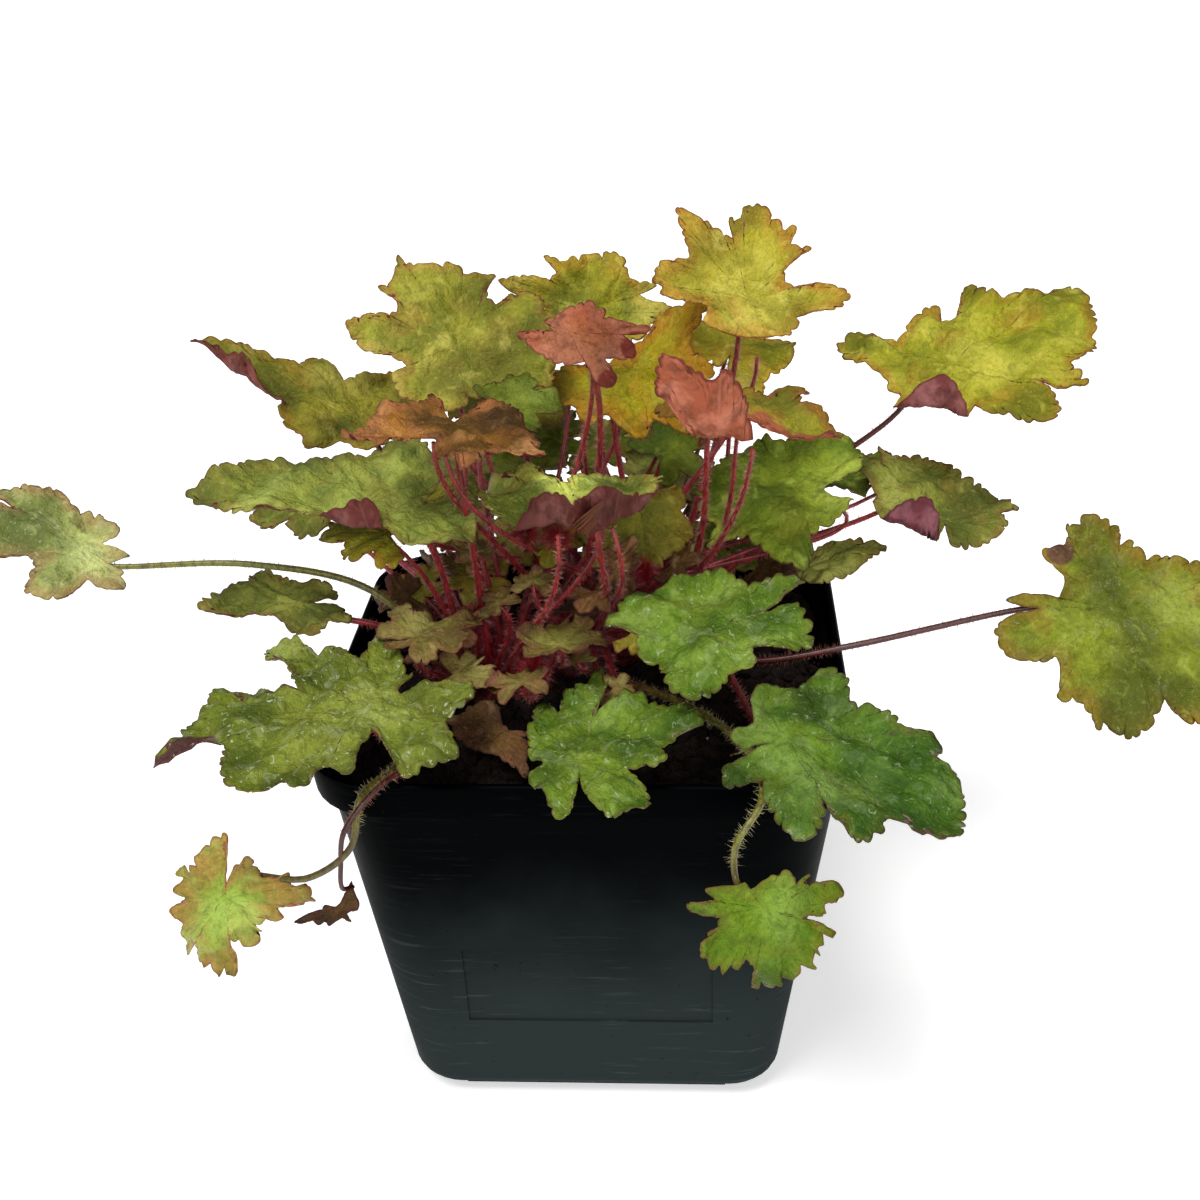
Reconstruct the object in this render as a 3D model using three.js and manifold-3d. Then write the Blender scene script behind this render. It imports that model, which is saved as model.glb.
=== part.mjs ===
// A heuchera growing in a square nursery pot.
// Millimetres, +Z up. The origin is on the floor, under the middle of the pot; the pot's front faces -Y.
// The pot, the potting mix and the crown with its leaf stalks are one node each, and so is each blade.
// The crown and the stalks grow as one body. Each blade sits on the end of its own stalk.
import * as THREE from "three";
import { mergeVertices } from "three/addons/utils/BufferGeometryUtils.js";
import Module from "manifold-3d";

const wasm = await Module();
wasm.setup();

// ---------------------------------------------------------------- driving dimensions

const GAP = 0.3; // left between two pieces that rest on each other
const POT_HEIGHT = 98;
const RIM_WIDTH = 120; // outside, across the rim band
const RIM_BAND = 9; // height of the band under the rim's edge
const RIM_STEP = 2.6; // how far the band stands out of the wall
const WALL = 1.3;
const BASE_WIDTH = 89; // outside, where the walls turn into the floor
const FOOT = { width: 63, length: 79, height: 2 }; // the raised cross that the pot stands on
const DRAIN = { radius: 4, inset: 33.5 }; // one hole in each corner of the floor
const PANEL = { width: 57, height: 23, middle: 37, depth: 0.5 }; // plain sunken field in the front wall
const SOIL = { edge: 89.5, mound: 1.6, bumps: 0.7 }; // height at the wall and how uneven it is

const BLADE = 0.7; // thickness
const STALK_RADIUS = 1.1;
const STALK_SIDES = 4;
const STALK_STEPS = 6;
const TRAILING_STEPS = 14;

// The crown's three heads, level with the soil: middle, radius and how far the top stands up.
const HEADS = {
  left: { x: -24, y: 2, radius: 15, top: 96 },
  back: { x: 13, y: 28, radius: 14, top: 95 },
  middle: { x: -4, y: 14, radius: 14, top: 97 },
};
const ROOT = 3.5; // depth of a stalk's foot under the top of its head
const HEAD_DEPTH = 17; // below the soil's surface

// A blade's edge across one lobe: place from one gap (-1) over the lobe's tip (0) to the next gap,
// and share of the way from the gap's bottom out to the tip. Three rounded teeth.
const LOBE_EDGE = [
  [-1, 0],
  [-0.86, 0.6],
  [-0.6, 0.92],
  [-0.34, 0.9],
  [0, 1],
  [0.34, 0.9],
  [0.6, 0.92],
  [0.86, 0.6],
];
const SMALL_EDGE = [
  [-1, 0],
  [-0.74, 0.76],
  [-0.38, 0.78],
  [0, 1],
  [0.38, 0.78],
  [0.74, 0.76],
];
const SMALL = 17; // blades with a longest lobe under this have the small edge
const NOTCH = 0.1; // reach where the stalk comes in between the two rear lobes, as a share of the longest
const CURL_FROM = 0.4; // share of the longest reach at which a lobe starts to curl

// A regular blade: direction of each lobe from the midrib in degrees, and its reach as a share of the size.
const palmate = (size) =>
  [-143, -96, -48, 0, 48, 96, 143].map((at) => [at, size * (1 - 0.42 * (Math.abs(at) / 143) ** 1.6)]);
// A withered one: five short lobes, curled up and down by turns.
const withered = (size) =>
  [-125, -62, 0, 62, 125].map((at, k) => (k % 2 ? [at, size * 0.8, 95] : [at, size, -70]));

// What a blade is like unless its row says otherwise. cut: depth of the gaps between lobes.
// cup: rise of the rim, pleat: trough along each lobe, ruffle: waves round the rim, as shares of the reach.
// droop, sides: turn of the tip and of the two edges, lean: turn from stalk to blade, in degrees.
const PLAIN = {
  cut: 0.48, cup: 0, pleat: 0.05, ruffle: 0.05, droop: 8, sides: 6, lean: 40, bow: [0, 0, 0],
};

// tone: what colour the blade has. from: the head that its stalk grows on. at: the end of the stalk.
// tip: where the blade points. face: where its upper side looks. via: places that a trailing stalk passes.
// bow: how far the stalk's middle is pushed aside.
// lobes: direction of each from the midrib, reach in millimetres and, where it curls, by how many degrees.
const LEAVES = [
  // high leaves, seen from the front, left to right
  {
    tone: "lime", from: "left", at: [-56, 27, 148], tip: [-0.95, 0.1, 0.3], face: [0.1, -0.35, 0.93],
    bow: [-9, 7, 10],
    lobes: [[-135, 13], [-92, 21], [-50, 22], [-8, 44, 35], [26, 22, -12], [66, 17, -15], [115, 12, -20]],
  },
  {
    tone: "green", from: "left", at: [-38, -15, 141], tip: [-1, 0, 0.13], face: [0.03, -0.24, 0.97],
    bow: [-1, 0, -1], ruffle: 0.02,
    lobes: [
      [-138, 19], [-95, 28], [-58, 33], [-27, 47], [-3, 57, -10], [42, 24, 110], [98, 15], [155, 17],
    ],
  },
  {
    tone: "lime", from: "left", at: [-31, 15, 161], tip: [-0.1, 0.6, 0.75], face: [0.05, -0.42, 0.9],
    bow: [4, 2, -3],
    lobes: [
      [-140, 12, -30], [-98, 23, -15], [-67, 27], [-36, 29, 25], [-9, 31], [19, 33, 20], [53, 32, -15],
      [98, 20, -20], [142, 13, -20],
    ],
  },
  {
    tone: "red", from: "left", at: [-27, -16, 162], tip: [-0.42, -0.9, 0], face: [0, -0.1, 1], lean: 0,
    bow: [2, 1, 0], cup: 0.12,
    lobes: [[-143, 18, 50], [-81, 26], [-41, 15], [20, 18], [69, 26], [110, 20], [148, 15, 25]],
  },
  {
    tone: "lime", from: "middle", at: [0, 36, 164], tip: [0, 0.4, 0.9], face: [0, -0.5, 0.87],
    bow: [1, 5, -1],
    lobes: [[-125, 16], [-82, 18], [-51, 21, 40], [-23, 24], [3, 25], [31, 25, 45], [62, 22], [108, 17]],
  },
  {
    tone: "red", from: "middle", at: [3, -17, 178], tip: [-0.2, 0.4, 0.8], face: [-0.1, -0.7, 0.7],
    bow: [0, 7, -1],
    lobes: [
      [-150, 10, 150], [-105, 11, 150], [-72, 13, 50], [-38, 12], [2, 13], [36, 14, -15], [64, 18, -15],
      [120, 9],
    ],
  },
  {
    tone: "amber", from: "back", at: [5, 20, 154], tip: [0.45, 0.4, 0.8], face: [-0.1, -0.55, 0.83],
    bow: [2, 3, -5],
    lobes: [[-114, 13], [-78, 23, -15], [-44, 29], [-9, 29], [28, 20], [70, 16], [108, 18], [160, 10]],
  },
  {
    tone: "lime", from: "back", at: [35, 10, 176], tip: [0.15, 0.45, 0.88], face: [-0.05, -0.5, 0.87],
    bow: [-1, 2, 0],
    lobes: [
      [-130, 13, -40], [-95, 17, -15], [-66, 26, -10], [-37, 23, 45], [-2, 29], [32, 28, 25], [66, 23],
      [98, 15, -20], [135, 13, -40],
    ],
  },
  {
    tone: "amber", from: "back", at: [28, -10, 159], tip: [1, 0.1, 0], face: [-0.05, -0.15, 1],
    bow: [14, 3, -1],
    lobes: [
      [-135, 16, 70], [-80, 15, 70], [-28, 24, 45], [2, 32], [38, 32], [74, 24, 40], [106, 28, 80],
      [145, 20, 50],
    ],
  },
  {
    tone: "green", from: "back", at: [34, 27, 164], tip: [1, 0.1, 0], face: [0, -0.5, 0.87],
    bow: [14, 15, -5],
    lobes: [[-145, 10], [-60, 11], [-10, 15], [28, 14], [80, 9], [140, 13]],
  },
  {
    tone: "lime", from: "back", at: [76, 32, 151], tip: [1, 0.1, 0.3], face: [-0.2, -0.5, 0.85],
    bow: [8, -1, 6],
    lobes: [
      [-150, 11, 20], [-95, 15, 130], [-48, 22], [-22, 36], [2, 47, -10], [25, 51], [51, 38],
      [80, 27, 15], [119, 24, -10], [158, 12],
    ],
  },
  // the middle tier
  {
    tone: "lime", from: "middle", at: [4, -30, 145], tip: [0.1, 1, 0.1], face: [0, -0.05, 1], lean: -10,
    bow: [2, -4, -2],
    lobes: [
      [-140, 17, 85], [-90, 22, 40], [-48, 25, 10], [-12, 29, 15], [24, 32, 12], [60, 30], [97, 26, 20],
      [140, 18, 80],
    ],
  },
  {
    tone: "green", from: "back", at: [53, 20, 132], tip: [-1, -0.2, -0.15], face: [0.05, -0.42, 0.9],
    lobes: [
      [-146, 18], [-108, 18], [-70, 22], [-33, 28], [0, 28, -10], [56, 21, -10], [98, 16], [142, 12],
    ],
  },
  {
    tone: "green", from: "back", at: [72, 28, 124], tip: [1, 0.1, -0.1], face: [0.05, -0.45, 0.9],
    lobes: [
      [-145, 10, 20], [-95, 14, 120], [-42, 21, -15], [-10, 32, -10], [17, 38, -30], [46, 25], [76, 20],
      [110, 15], [150, 10],
    ],
  },
  {
    tone: "green", from: "back", at: [51, 15, 113], tip: [1, 0.2, 0.2], face: [-0.1, -0.15, 1],
    bow: [2, 0, 2],
    lobes: [[-130, 9], [-75, 10], [-20, 15], [13, 24], [45, 16], [85, 12], [130, 9]],
  },
  {
    tone: "lime", from: "left", at: [-46, -8, 133], tip: [-1, 0, 0], face: [0, -0.3, 0.95],
    lobes: [[-125, 8], [-58, 11], [-8, 15], [38, 10], [110, 10]],
  },
  {
    tone: "green", from: "middle", at: [-19, 4, 159], tip: [0.6, 0.3, 0.1], face: [0, -0.4, 0.92],
    bow: [-2, 7, 6],
    lobes: [[-120, 9], [-62, 11], [-10, 15], [40, 14], [93, 11]],
  },
  {
    tone: "green", from: "middle", at: [12, 5, 134], tip: [0, -0.3, -0.9], face: [0, -0.9, 0.35],
    lobes: [[-95, 9], [-42, 12], [6, 14], [50, 13], [105, 9]],
  },
  {
    tone: "green", from: "back", at: [17, 35, 135], tip: [0.6, 0.4, 0.3], face: [0, -0.5, 0.87],
    lobes: [[-120, 9], [-62, 11], [-5, 13], [50, 12], [110, 10]],
  },
  // long stalked leaves at the sides
  {
    tone: "green", from: "left", at: [-118, 0, 123], via: [[-52, 0, 115], [-80, 0, 122]],
    tip: [-1, -0.1, 0.1], face: [0.05, -0.5, 0.87], lean: 70,
    lobes: [
      [-162, 9], [-113, 12], [-70, 26], [-42, 35], [-15, 34], [13, 27], [50, 17], [100, 12], [145, 11],
    ],
  },
  {
    tone: "lime", from: "middle", at: [108, -5, 112], via: [[40, -8, 100], [61, -8, 104]],
    tip: [0.95, -0.2, -0.1], face: [-0.05, -0.75, 0.66], lean: 65,
    lobes: [
      [-140, 16], [-92, 23], [-58, 33], [-26, 41], [4, 42, -10], [38, 36], [80, 27], [115, 17],
      [160, 13],
    ],
  },
  {
    tone: "green", from: "left", at: [-68, -5, 114], tip: [-1, 0, 0], face: [0, -0.3, 0.95],
    bow: [-9, -1, 3],
    lobes: [[-140, 11], [-90, 12], [-42, 20], [-6, 26], [30, 17], [92, 12, -15], [148, 14]],
  },
  // the low leaves over the rim
  {
    tone: "green", from: "left", at: [-43, -54, 112], tip: [-0.1, 1, 0], face: [0, -0.25, 0.97],
    lean: -15, bow: [2, -2, -3],
    lobes: [
      [-155, 26], [-92, 22], [-50, 18], [-5, 31], [34, 44], [62, 58, -70], [102, 38], [132, 33],
      [162, 20],
    ],
  },
  {
    tone: "green", from: "middle", at: [1, -62, 106], tip: [-0.31, 0.95, 0], face: [0, -0.55, 0.83],
    lean: -15, bow: [7, -4, -1], cut: 0.62,
    lobes: [[-150, 16], [-104, 18], [-58, 38], [-24, 42], [12, 25], [58, 17], [106, 14], [150, 16]],
  },
  {
    tone: "green", from: "back", at: [43, -61, 111], tip: [0.97, 0.23, 0.04], face: [0, -0.4, 0.92],
    lean: 0,
    lobes: [[-150, 17], [-98, 24], [-68, 30], [-38, 41], [-8, 34], [38, 22], [100, 17], [152, 14]],
  },
  {
    tone: "green", from: "back", at: [34, -36, 124], tip: [-0.9, -0.4, -0.1], face: [0, -0.25, 0.97],
    lean: -10, bow: [2, 3, -3],
    lobes: [[-155, 21], [-94, 22], [-58, 26], [-26, 30], [6, 25], [42, 24], [84, 16], [138, 18]],
  },
  {
    tone: "lime", from: "middle", at: [34, -84, 89],
    via: [[24, -30, 100], [37, -58, 104], [38, -73, 103], [33, -79, 97]], tip: [0.3, -0.3, -1],
    face: [0.1, -0.9, 0.4], lean: 30, cut: 0.62,
    lobes: [
      [-150, 10], [-97, 14], [-42, 19], [-10, 22], [20, 23], [48, 22], [76, 20], [108, 12], [150, 9],
    ],
  },
  {
    tone: "lime", from: "left", at: [-75, -68, 76],
    via: [[-38, -50, 98], [-44, -66, 99], [-46, -70, 90], [-56, -70, 82]], tip: [-0.6, 0, -0.8],
    face: [0, -0.95, 0.3], lean: 60, cut: 0.62,
    lobes: [[-146, 15], [-82, 13], [-36, 16], [0, 21], [34, 20], [72, 14], [122, 20], [165, 12]],
  },
  // small young leaves round the heads
  {
    tone: "green", from: "left", at: [-37, -24, 115], tip: [1, 0.1, 0], face: [0, -0.1, 1],
    bow: [1, -1, -5],
    lobes: [[-155, 8], [-75, 9], [-18, 12], [28, 16], [72, 13], [116, 13], [158, 11]],
  },
  {
    tone: "green", from: "middle", at: [-5, -28, 115], tip: [-0.2, 1, 0], face: [0, -0.55, 0.83], lean: 0,
    lobes: [[-145, 9], [-92, 11], [-45, 11], [0, 14], [52, 12], [115, 9]],
  },
  {
    tone: "amber", from: "middle", at: [-13, -35, 109], tip: [-0.2, 1, 0], face: [0, -0.7, 0.7], lean: 0,
    lobes: [[-140, 7], [-70, 7], [0, 9], [60, 8], [125, 7]],
  },
  {
    tone: "green", from: "left", at: [-29, -25, 106], tip: [1, -0.1, 0], face: [0, -0.5, 0.87],
    lobes: [[-130, 7], [-70, 8], [-5, 10], [60, 8], [125, 7]],
  },
  // withered leaves
  {
    tone: "dead", from: "left", at: [-22, -44, 99], tip: [0.6, -0.6, -0.2], face: [0, -0.4, 0.9],
    lobes: withered(13),
  },
  {
    tone: "dead", from: "middle", at: [-4, -3, 114], tip: [0.3, -0.6, 0.2], face: [0, -0.6, 0.8],
    bow: [1, 3, -3], lobes: withered(11),
  },
  {
    tone: "dead", from: "left", at: [-45, 7, 110], tip: [-0.8, -0.3, 0], face: [0, -0.6, 0.8],
    bow: [-4, -1, -5], lobes: withered(9),
  },
  {
    tone: "dead", from: "back", at: [41, 30, 106], tip: [0.8, -0.3, 0.1], face: [0, -0.6, 0.8],
    lobes: withered(10),
  },
  {
    tone: "dead", from: "left", at: [-53, -66, 74],
    via: [[-34, -50, 99], [-38, -63, 101], [-47, -66, 88]], tip: [-1, 0, -0.3], face: [0, -0.8, 0.6],
    lean: 60, lobes: withered(8),
  },
  // leaves at the back
  {
    tone: "green", from: "back", at: [52, 50, 124], tip: [0.6, 0.8, 0], face: [0.1, 0.25, 0.96],
    lobes: palmate(27),
  },
  {
    tone: "lime", from: "back", at: [10, 67, 128], tip: [0.1, 1, -0.1], face: [0, 0.3, 0.95],
    bow: [2, 1, 0], lobes: palmate(29),
  },
  {
    tone: "green", from: "middle", at: [-30, 56, 124], tip: [-0.5, 0.85, -0.1], face: [-0.1, 0.3, 0.95],
    lobes: palmate(28),
  },
  {
    tone: "green", from: "left", at: [-66, 38, 122], tip: [-0.9, 0.5, 0], face: [-0.2, 0.1, 0.97],
    lobes: palmate(25),
  },
  {
    tone: "lime", from: "middle", at: [-20, 48, 146], tip: [-0.3, 0.9, 0.2], face: [0, 0.05, 1],
    lobes: palmate(24),
  },
  {
    tone: "green", from: "back", at: [30, 84, 104], tip: [0.3, 0.9, -0.4], face: [0, 0.5, 0.85],
    lobes: palmate(25),
  },
  {
    tone: "green", from: "left", at: [-47, 68, 104], tip: [-0.4, 0.8, -0.5], face: [-0.2, 0.5, 0.83],
    bow: [2, -4, -2], lobes: palmate(24),
  },
];

const TONES = {
  green: { color: "#6f8f2e", roughness: 0.55 },
  lime: { color: "#9a9b33", roughness: 0.55 },
  amber: { color: "#b98a35", roughness: 0.55 },
  red: { color: "#a8553f", roughness: 0.6 },
  dead: { color: "#6b4a2c", roughness: 0.9 },
};

// ---------------------------------------------------------------- helpers

// A repeatable number between 0 and 1 for a leaf and a purpose.
function chance(seed, purpose) {
  const v = Math.sin(seed * 12.9898 + purpose * 78.233) * 43758.5453;
  return v - Math.floor(v);
}

const degrees = THREE.MathUtils.degToRad;

function toSolid(geometry) {
  const bare = geometry.clone();
  for (const name of Object.keys(bare.attributes)) if (name !== "position") bare.deleteAttribute(name);
  const merged = mergeVertices(bare, 1e-4);
  return new wasm.Manifold(
    new wasm.Mesh({
      numProp: 3,
      vertProperties: merged.attributes.position.array,
      triVerts: new Uint32Array(merged.index.array),
    }),
  );
}

function toGeometry(solid) {
  const { numProp, vertProperties, triVerts } = solid.getMesh();
  const positions = new Float32Array((vertProperties.length / numProp) * 3);
  for (let i = 0; i * 3 < positions.length; i++)
    positions.set(vertProperties.subarray(i * numProp, i * numProp + 3), i * 3);
  const geometry = new THREE.BufferGeometry();
  geometry.setAttribute("position", new THREE.BufferAttribute(positions, 3));
  geometry.setIndex(new THREE.BufferAttribute(triVerts, 1));
  geometry.computeVertexNormals();
  return geometry;
}

function indexed(points, index) {
  const geometry = new THREE.BufferGeometry().setFromPoints(points);
  geometry.setIndex(index);
  return geometry;
}

// A closed body through rings of equally many points, capped at the first and the last ring.
function loft(rings) {
  const count = rings[0].length;
  const points = rings.flat();
  const index = [];
  for (let r = 0; r + 1 < rings.length; r++)
    for (let i = 0; i < count; i++) {
      const a = r * count + i;
      const b = r * count + ((i + 1) % count);
      index.push(a, b, b + count, a, b + count, a + count);
    }
  for (const [ring, turned] of [[0, true], [rings.length - 1, false]]) {
    const middle = rings[ring].reduce((sum, p) => sum.add(p), new THREE.Vector3()).divideScalar(count);
    const centre = points.push(middle) - 1;
    for (let i = 0; i < count; i++) {
      const a = ring * count + i;
      const b = ring * count + ((i + 1) % count);
      index.push(...(turned ? [centre, b, a] : [centre, a, b]));
    }
  }
  return indexed(points, index);
}

// A square ring with rounded corners: half its width, the corner's radius and its height.
function squareRing([half, corner, z], heightAt = () => z) {
  const steps = 4;
  const points = [];
  for (let side = 0; side < 4; side++)
    for (let i = 0; i <= steps; i++) {
      const turn = (side + i / steps) * (Math.PI / 2);
      const middle = (side + 0.5) * (Math.PI / 2);
      const reach = (half - corner) * Math.SQRT2;
      const x = reach * Math.cos(middle) + corner * Math.cos(turn);
      const y = reach * Math.sin(middle) + corner * Math.sin(turn);
      points.push(new THREE.Vector3(x, y, heightAt(x, y)));
    }
  return points;
}

// ---------------------------------------------------------------- pot

const upTheWall = (z, low, high) => THREE.MathUtils.mapLinear(z, 6, POT_HEIGHT, low, high);
const wallHalf = (z) => upTheWall(z, BASE_WIDTH / 2, RIM_WIDTH / 2 - RIM_STEP);
const wallCorner = (z) => upTheWall(z, 12, 17);

function potSolid() {
  const rim = RIM_WIDTH / 2;
  const band = POT_HEIGHT - RIM_BAND;
  const floor = FOOT.height;
  const outside = [
    [39, 8, floor],
    [42.6, 10.5, floor + 1.2],
    [wallHalf(6), 12, 6],
    [wallHalf(band), wallCorner(band), band],
    [rim - 0.9, 18, band + 0.4],
    [rim, 18.5, POT_HEIGHT - 0.8],
    [rim - 0.7, 18, POT_HEIGHT],
  ];
  const inside = [
    [rim - 1.7, 17.2, POT_HEIGHT],
    [rim - 2.1, 17, band + 1.6],
    [wallHalf(band) - WALL, wallCorner(band) - WALL, band],
    [wallHalf(7) - WALL, 10.8, 7],
    [wallHalf(5) - WALL - 3, 8.5, floor + 1.6],
  ];
  const shell = toSolid(loft([...outside, ...inside].map((ring) => squareRing(ring))));

  const [long, short] = [FOOT.length / 2, FOOT.width / 2];
  const cross = new THREE.Shape();
  const quarter = [[long, short], [short, short], [short, long]];
  const half = [...quarter, ...quarter.map(([x, y]) => [-x, y]).reverse()];
  const corners = [...half, ...half.map(([x, y]) => [-x, -y])];
  cross.setFromPoints(corners.map(([x, y]) => new THREE.Vector2(x, y)));
  const foot = new THREE.ExtrudeGeometry(cross, { depth: FOOT.height + 0.8, bevelEnabled: false });

  let pot = shell.add(toSolid(foot));
  for (const x of [-1, 1])
    for (const y of [-1, 1]) {
      const drill = new THREE.CylinderGeometry(DRAIN.radius, DRAIN.radius, 12, 12).rotateX(Math.PI / 2);
      pot = pot.subtract(toSolid(drill.translate(x * DRAIN.inset, y * DRAIN.inset, 0)));
    }

  const slope = Math.atan2(wallHalf(PANEL.middle + 1) - wallHalf(PANEL.middle), 1);
  const front = -wallHalf(PANEL.middle);
  const cutter = new THREE.BoxGeometry(PANEL.width, 2, PANEL.height).rotateX(slope);
  return pot.subtract(toSolid(cutter.translate(0, front - 1 + PANEL.depth, PANEL.middle)));
}

// ---------------------------------------------------------------- potting mix

function soilHeight(x, y) {
  const away = Math.hypot(x, y) / 60;
  const small = Math.sin(x * 0.31 + 1.3) * Math.cos(y * 0.27 - 0.6);
  const broad = Math.sin(x * 0.13 - y * 0.21 + 2.1);
  return SOIL.edge + SOIL.mound * Math.max(0, 1 - away * away) + SOIL.bumps * (small + 0.6 * broad);
}

function headSolid({ x, y, radius, top }, grown = 0) {
  const bottom = SOIL.edge - HEAD_DEPTH - grown;
  const profile = [
    [0, bottom],
    [radius * 0.55 + grown, bottom],
    [radius + grown, bottom + HEAD_DEPTH * 0.6],
    [radius * 0.97 + grown, top - 5],
    [radius * 0.7 + grown, top - 1.5 + grown],
    [0, top + grown],
  ].map(([r, h]) => new THREE.Vector2(r, h));
  return toSolid(new THREE.LatheGeometry(profile, 14).rotateX(Math.PI / 2).translate(x, y, 0));
}

const crownSolid = (grown) =>
  Object.values(HEADS)
    .map((head) => headSolid(head, grown))
    .reduce((all, head) => all.add(head));

function soilSolid() {
  const inner = (z) => [wallHalf(z) - WALL - GAP, wallCorner(z) - WALL, z];
  const bottom = [wallHalf(5) - WALL - 3.4, 8.2, FOOT.height + 1.6 + GAP];
  const rings = [squareRing(bottom), squareRing(inner(7.4))];
  const [half, corner] = inner(SOIL.edge - 2.5);
  for (const share of [1, 0.84, 0.66, 0.46, 0.25])
    rings.push(squareRing([half * share, corner * share, 0], soilHeight));
  rings.splice(2, 0, squareRing([half, corner, SOIL.edge - 4.5]));
  return toSolid(loft(rings)).subtract(crownSolid(GAP));
}

// ---------------------------------------------------------------- leaf blades

const longest = (leaf) => Math.max(...leaf.lobes.map(([, reach]) => reach));

// A blade's lobes, and what lies on either side of each: half the way to the next one, and the gap's reach.
function bladeLobes(leaf) {
  const rear = 360 - (leaf.lobes.at(-1)[0] - leaf.lobes[0][0]);
  const outer = Math.min(26, rear / 2 - 4);
  return leaf.lobes.map(([at, reach, curl = 0], k) => {
    const sides = [leaf.lobes[k - 1], leaf.lobes[k + 1]].map((next) => {
      if (!next) return { half: outer, valley: NOTCH * 2.4 * longest(leaf) };
      const half = Math.abs(next[0] - at) / 2;
      const cut = THREE.MathUtils.clamp((leaf.cut * half) / 22, 0.16, 0.6);
      const between = 0.7 * Math.min(reach, next[1]) + 0.3 * Math.max(reach, next[1]);
      return { half, valley: (1 - cut) * between };
    });
    return { at, reach, curl, sides };
  });
}

const lobeEdge = (leaf) => (longest(leaf) < SMALL ? SMALL_EDGE : LOBE_EDGE);

// Points round a blade's edge: direction, reach and place q across the lobe, from -1 to 1.
function bladeEdge(leaf) {
  const points = [];
  const lobes = bladeLobes(leaf);
  lobes.forEach(({ at, reach, sides }, k) => {
    const edge = k === lobes.length - 1 ? [...lobeEdge(leaf), [1, 0]] : lobeEdge(leaf);
    for (const [q, share] of edge) {
      const { half, valley } = sides[q < 0 ? 0 : 1];
      points.push({ turn: degrees(at + q * half), reach: valley + (reach - valley) * share, q });
    }
  });
  const behind = (lobes[0].at + lobes.at(-1).at) / 2 + 180;
  points.push({ turn: degrees(behind), reach: NOTCH * longest(leaf), q: 1 });
  return points;
}

// Curl in a direction, eased from each lobe to the next.
function curlAt(leaf, turn) {
  const at = THREE.MathUtils.radToDeg(turn);
  const { lobes } = leaf;
  const next = lobes.findIndex(([direction]) => direction > at);
  if (next === 0) return lobes[0][2] ?? 0;
  if (next < 0) return lobes.at(-1)[2] ?? 0;
  const [[a, , curlA = 0], [b, , curlB = 0]] = [lobes[next - 1], lobes[next]];
  const ease = (1 - Math.cos((Math.PI * (at - a)) / (b - a))) / 2;
  return curlA + (curlB - curlA) * ease;
}

// Rolls a line lying along a into an arc of curvature k, carrying the height z with it.
function arc(a, z, k) {
  if (Math.abs(k) < 1e-6) return [a, z];
  return [Math.sin(k * a) * (1 / k - z), (1 - Math.cos(k * a)) / k + z * Math.cos(k * a)];
}

// Lifts a point of the flat blade to its place in the blade's own frame.
function bladePoint(leaf, seed, { turn, reach, q }) {
  const size = longest(leaf);
  const out = reach / size;
  const waves = (count, purpose) => Math.sin(count * turn + 2 * Math.PI * chance(seed, purpose));
  const fold = leaf.cup - leaf.pleat * Math.cos(Math.PI * q);
  const rise = fold * out ** 2 + leaf.ruffle * out ** 3 * (waves(3, 20) + 0.6 * waves(5, 21));
  let [along, up] = [reach, rise * size];
  const flat = CURL_FROM * size;
  if (reach > flat) {
    [along, up] = arc(reach - flat, up, degrees(curlAt(leaf, turn)) / (size - flat));
    along += flat;
  }
  const [y, raised] = arc(along * Math.sin(turn), up, -degrees(leaf.sides) / size);
  const [x, z] = arc(along * Math.cos(turn), raised, -degrees(leaf.droop) / size);
  return new THREE.Vector3(x, y, z);
}

// The blade's frame: origin on the stalk, X to the tip, Z out of the upper side.
function bladeFrame(leaf) {
  const tip = new THREE.Vector3(...leaf.tip).normalize();
  const face = new THREE.Vector3(...leaf.face);
  face.addScaledVector(tip, -face.dot(tip)).normalize();
  return new THREE.Matrix4()
    .makeBasis(tip, new THREE.Vector3().crossVectors(face, tip), face)
    .setPosition(...leaf.at);
}

// A fan round the stalk out to a ring with two points a lobe, and from there a band out to the edge.
function bladeSolid(leaf, seed) {
  const edge = bladeEdge(leaf);
  const halfLobe = lobeEdge(leaf).length / 2;
  const ring = edge.flatMap((p, i) => (i < edge.length - 2 && i % halfLobe === 0 ? [i] : []));
  ring.push(edge.length - 2);
  const inner = ring.map((i) => {
    const { turn, reach, q } = edge[i];
    return { turn, q, reach: Math.min(reach * 0.72, longest(leaf) * 0.5) };
  });
  const frame = bladeFrame(leaf);
  const middle = [{ turn: 0, reach: 0, q: 0 }, ...inner, ...edge].map((p) =>
    bladePoint(leaf, seed, p).applyMatrix4(frame),
  );
  const outer = 1 + inner.length;
  const last = outer + edge.length - 1;
  const faces = [];
  ring.forEach((at, i) => {
    const [a, b] = [1 + i, 2 + i];
    if (i === ring.length - 1) {
      faces.push([0, a, last], [0, last, 1], [1, last, outer], [a, last - 1, last]);
      return;
    }
    const half = Math.floor((at + ring[i + 1]) / 2);
    faces.push([0, a, b], [a, outer + half, b]);
    for (let e = at; e < ring[i + 1]; e++) faces.push([e < half ? a : b, outer + e, outer + e + 1]);
  });
  const sheet = indexed(middle, faces.flat());
  sheet.computeVertexNormals();
  const normals = sheet.attributes.normal;
  const offset = (side) =>
    middle.map((p, i) => {
      const out = new THREE.Vector3().fromBufferAttribute(normals, i);
      return p.clone().addScaledVector(out, (side * BLADE) / 2);
    });
  const index = faces.flat();
  const below = middle.length;
  for (const [a, b, c] of faces) index.push(below + a, below + c, below + b);
  for (let i = 0; i < edge.length; i++) {
    const a = outer + i;
    const b = outer + ((i + 1) % edge.length);
    index.push(b, a, below + a, b, below + a, below + b);
  }
  return toSolid(indexed([...offset(1), ...offset(-1)], index));
}

// ---------------------------------------------------------------- crown and stalks

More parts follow.
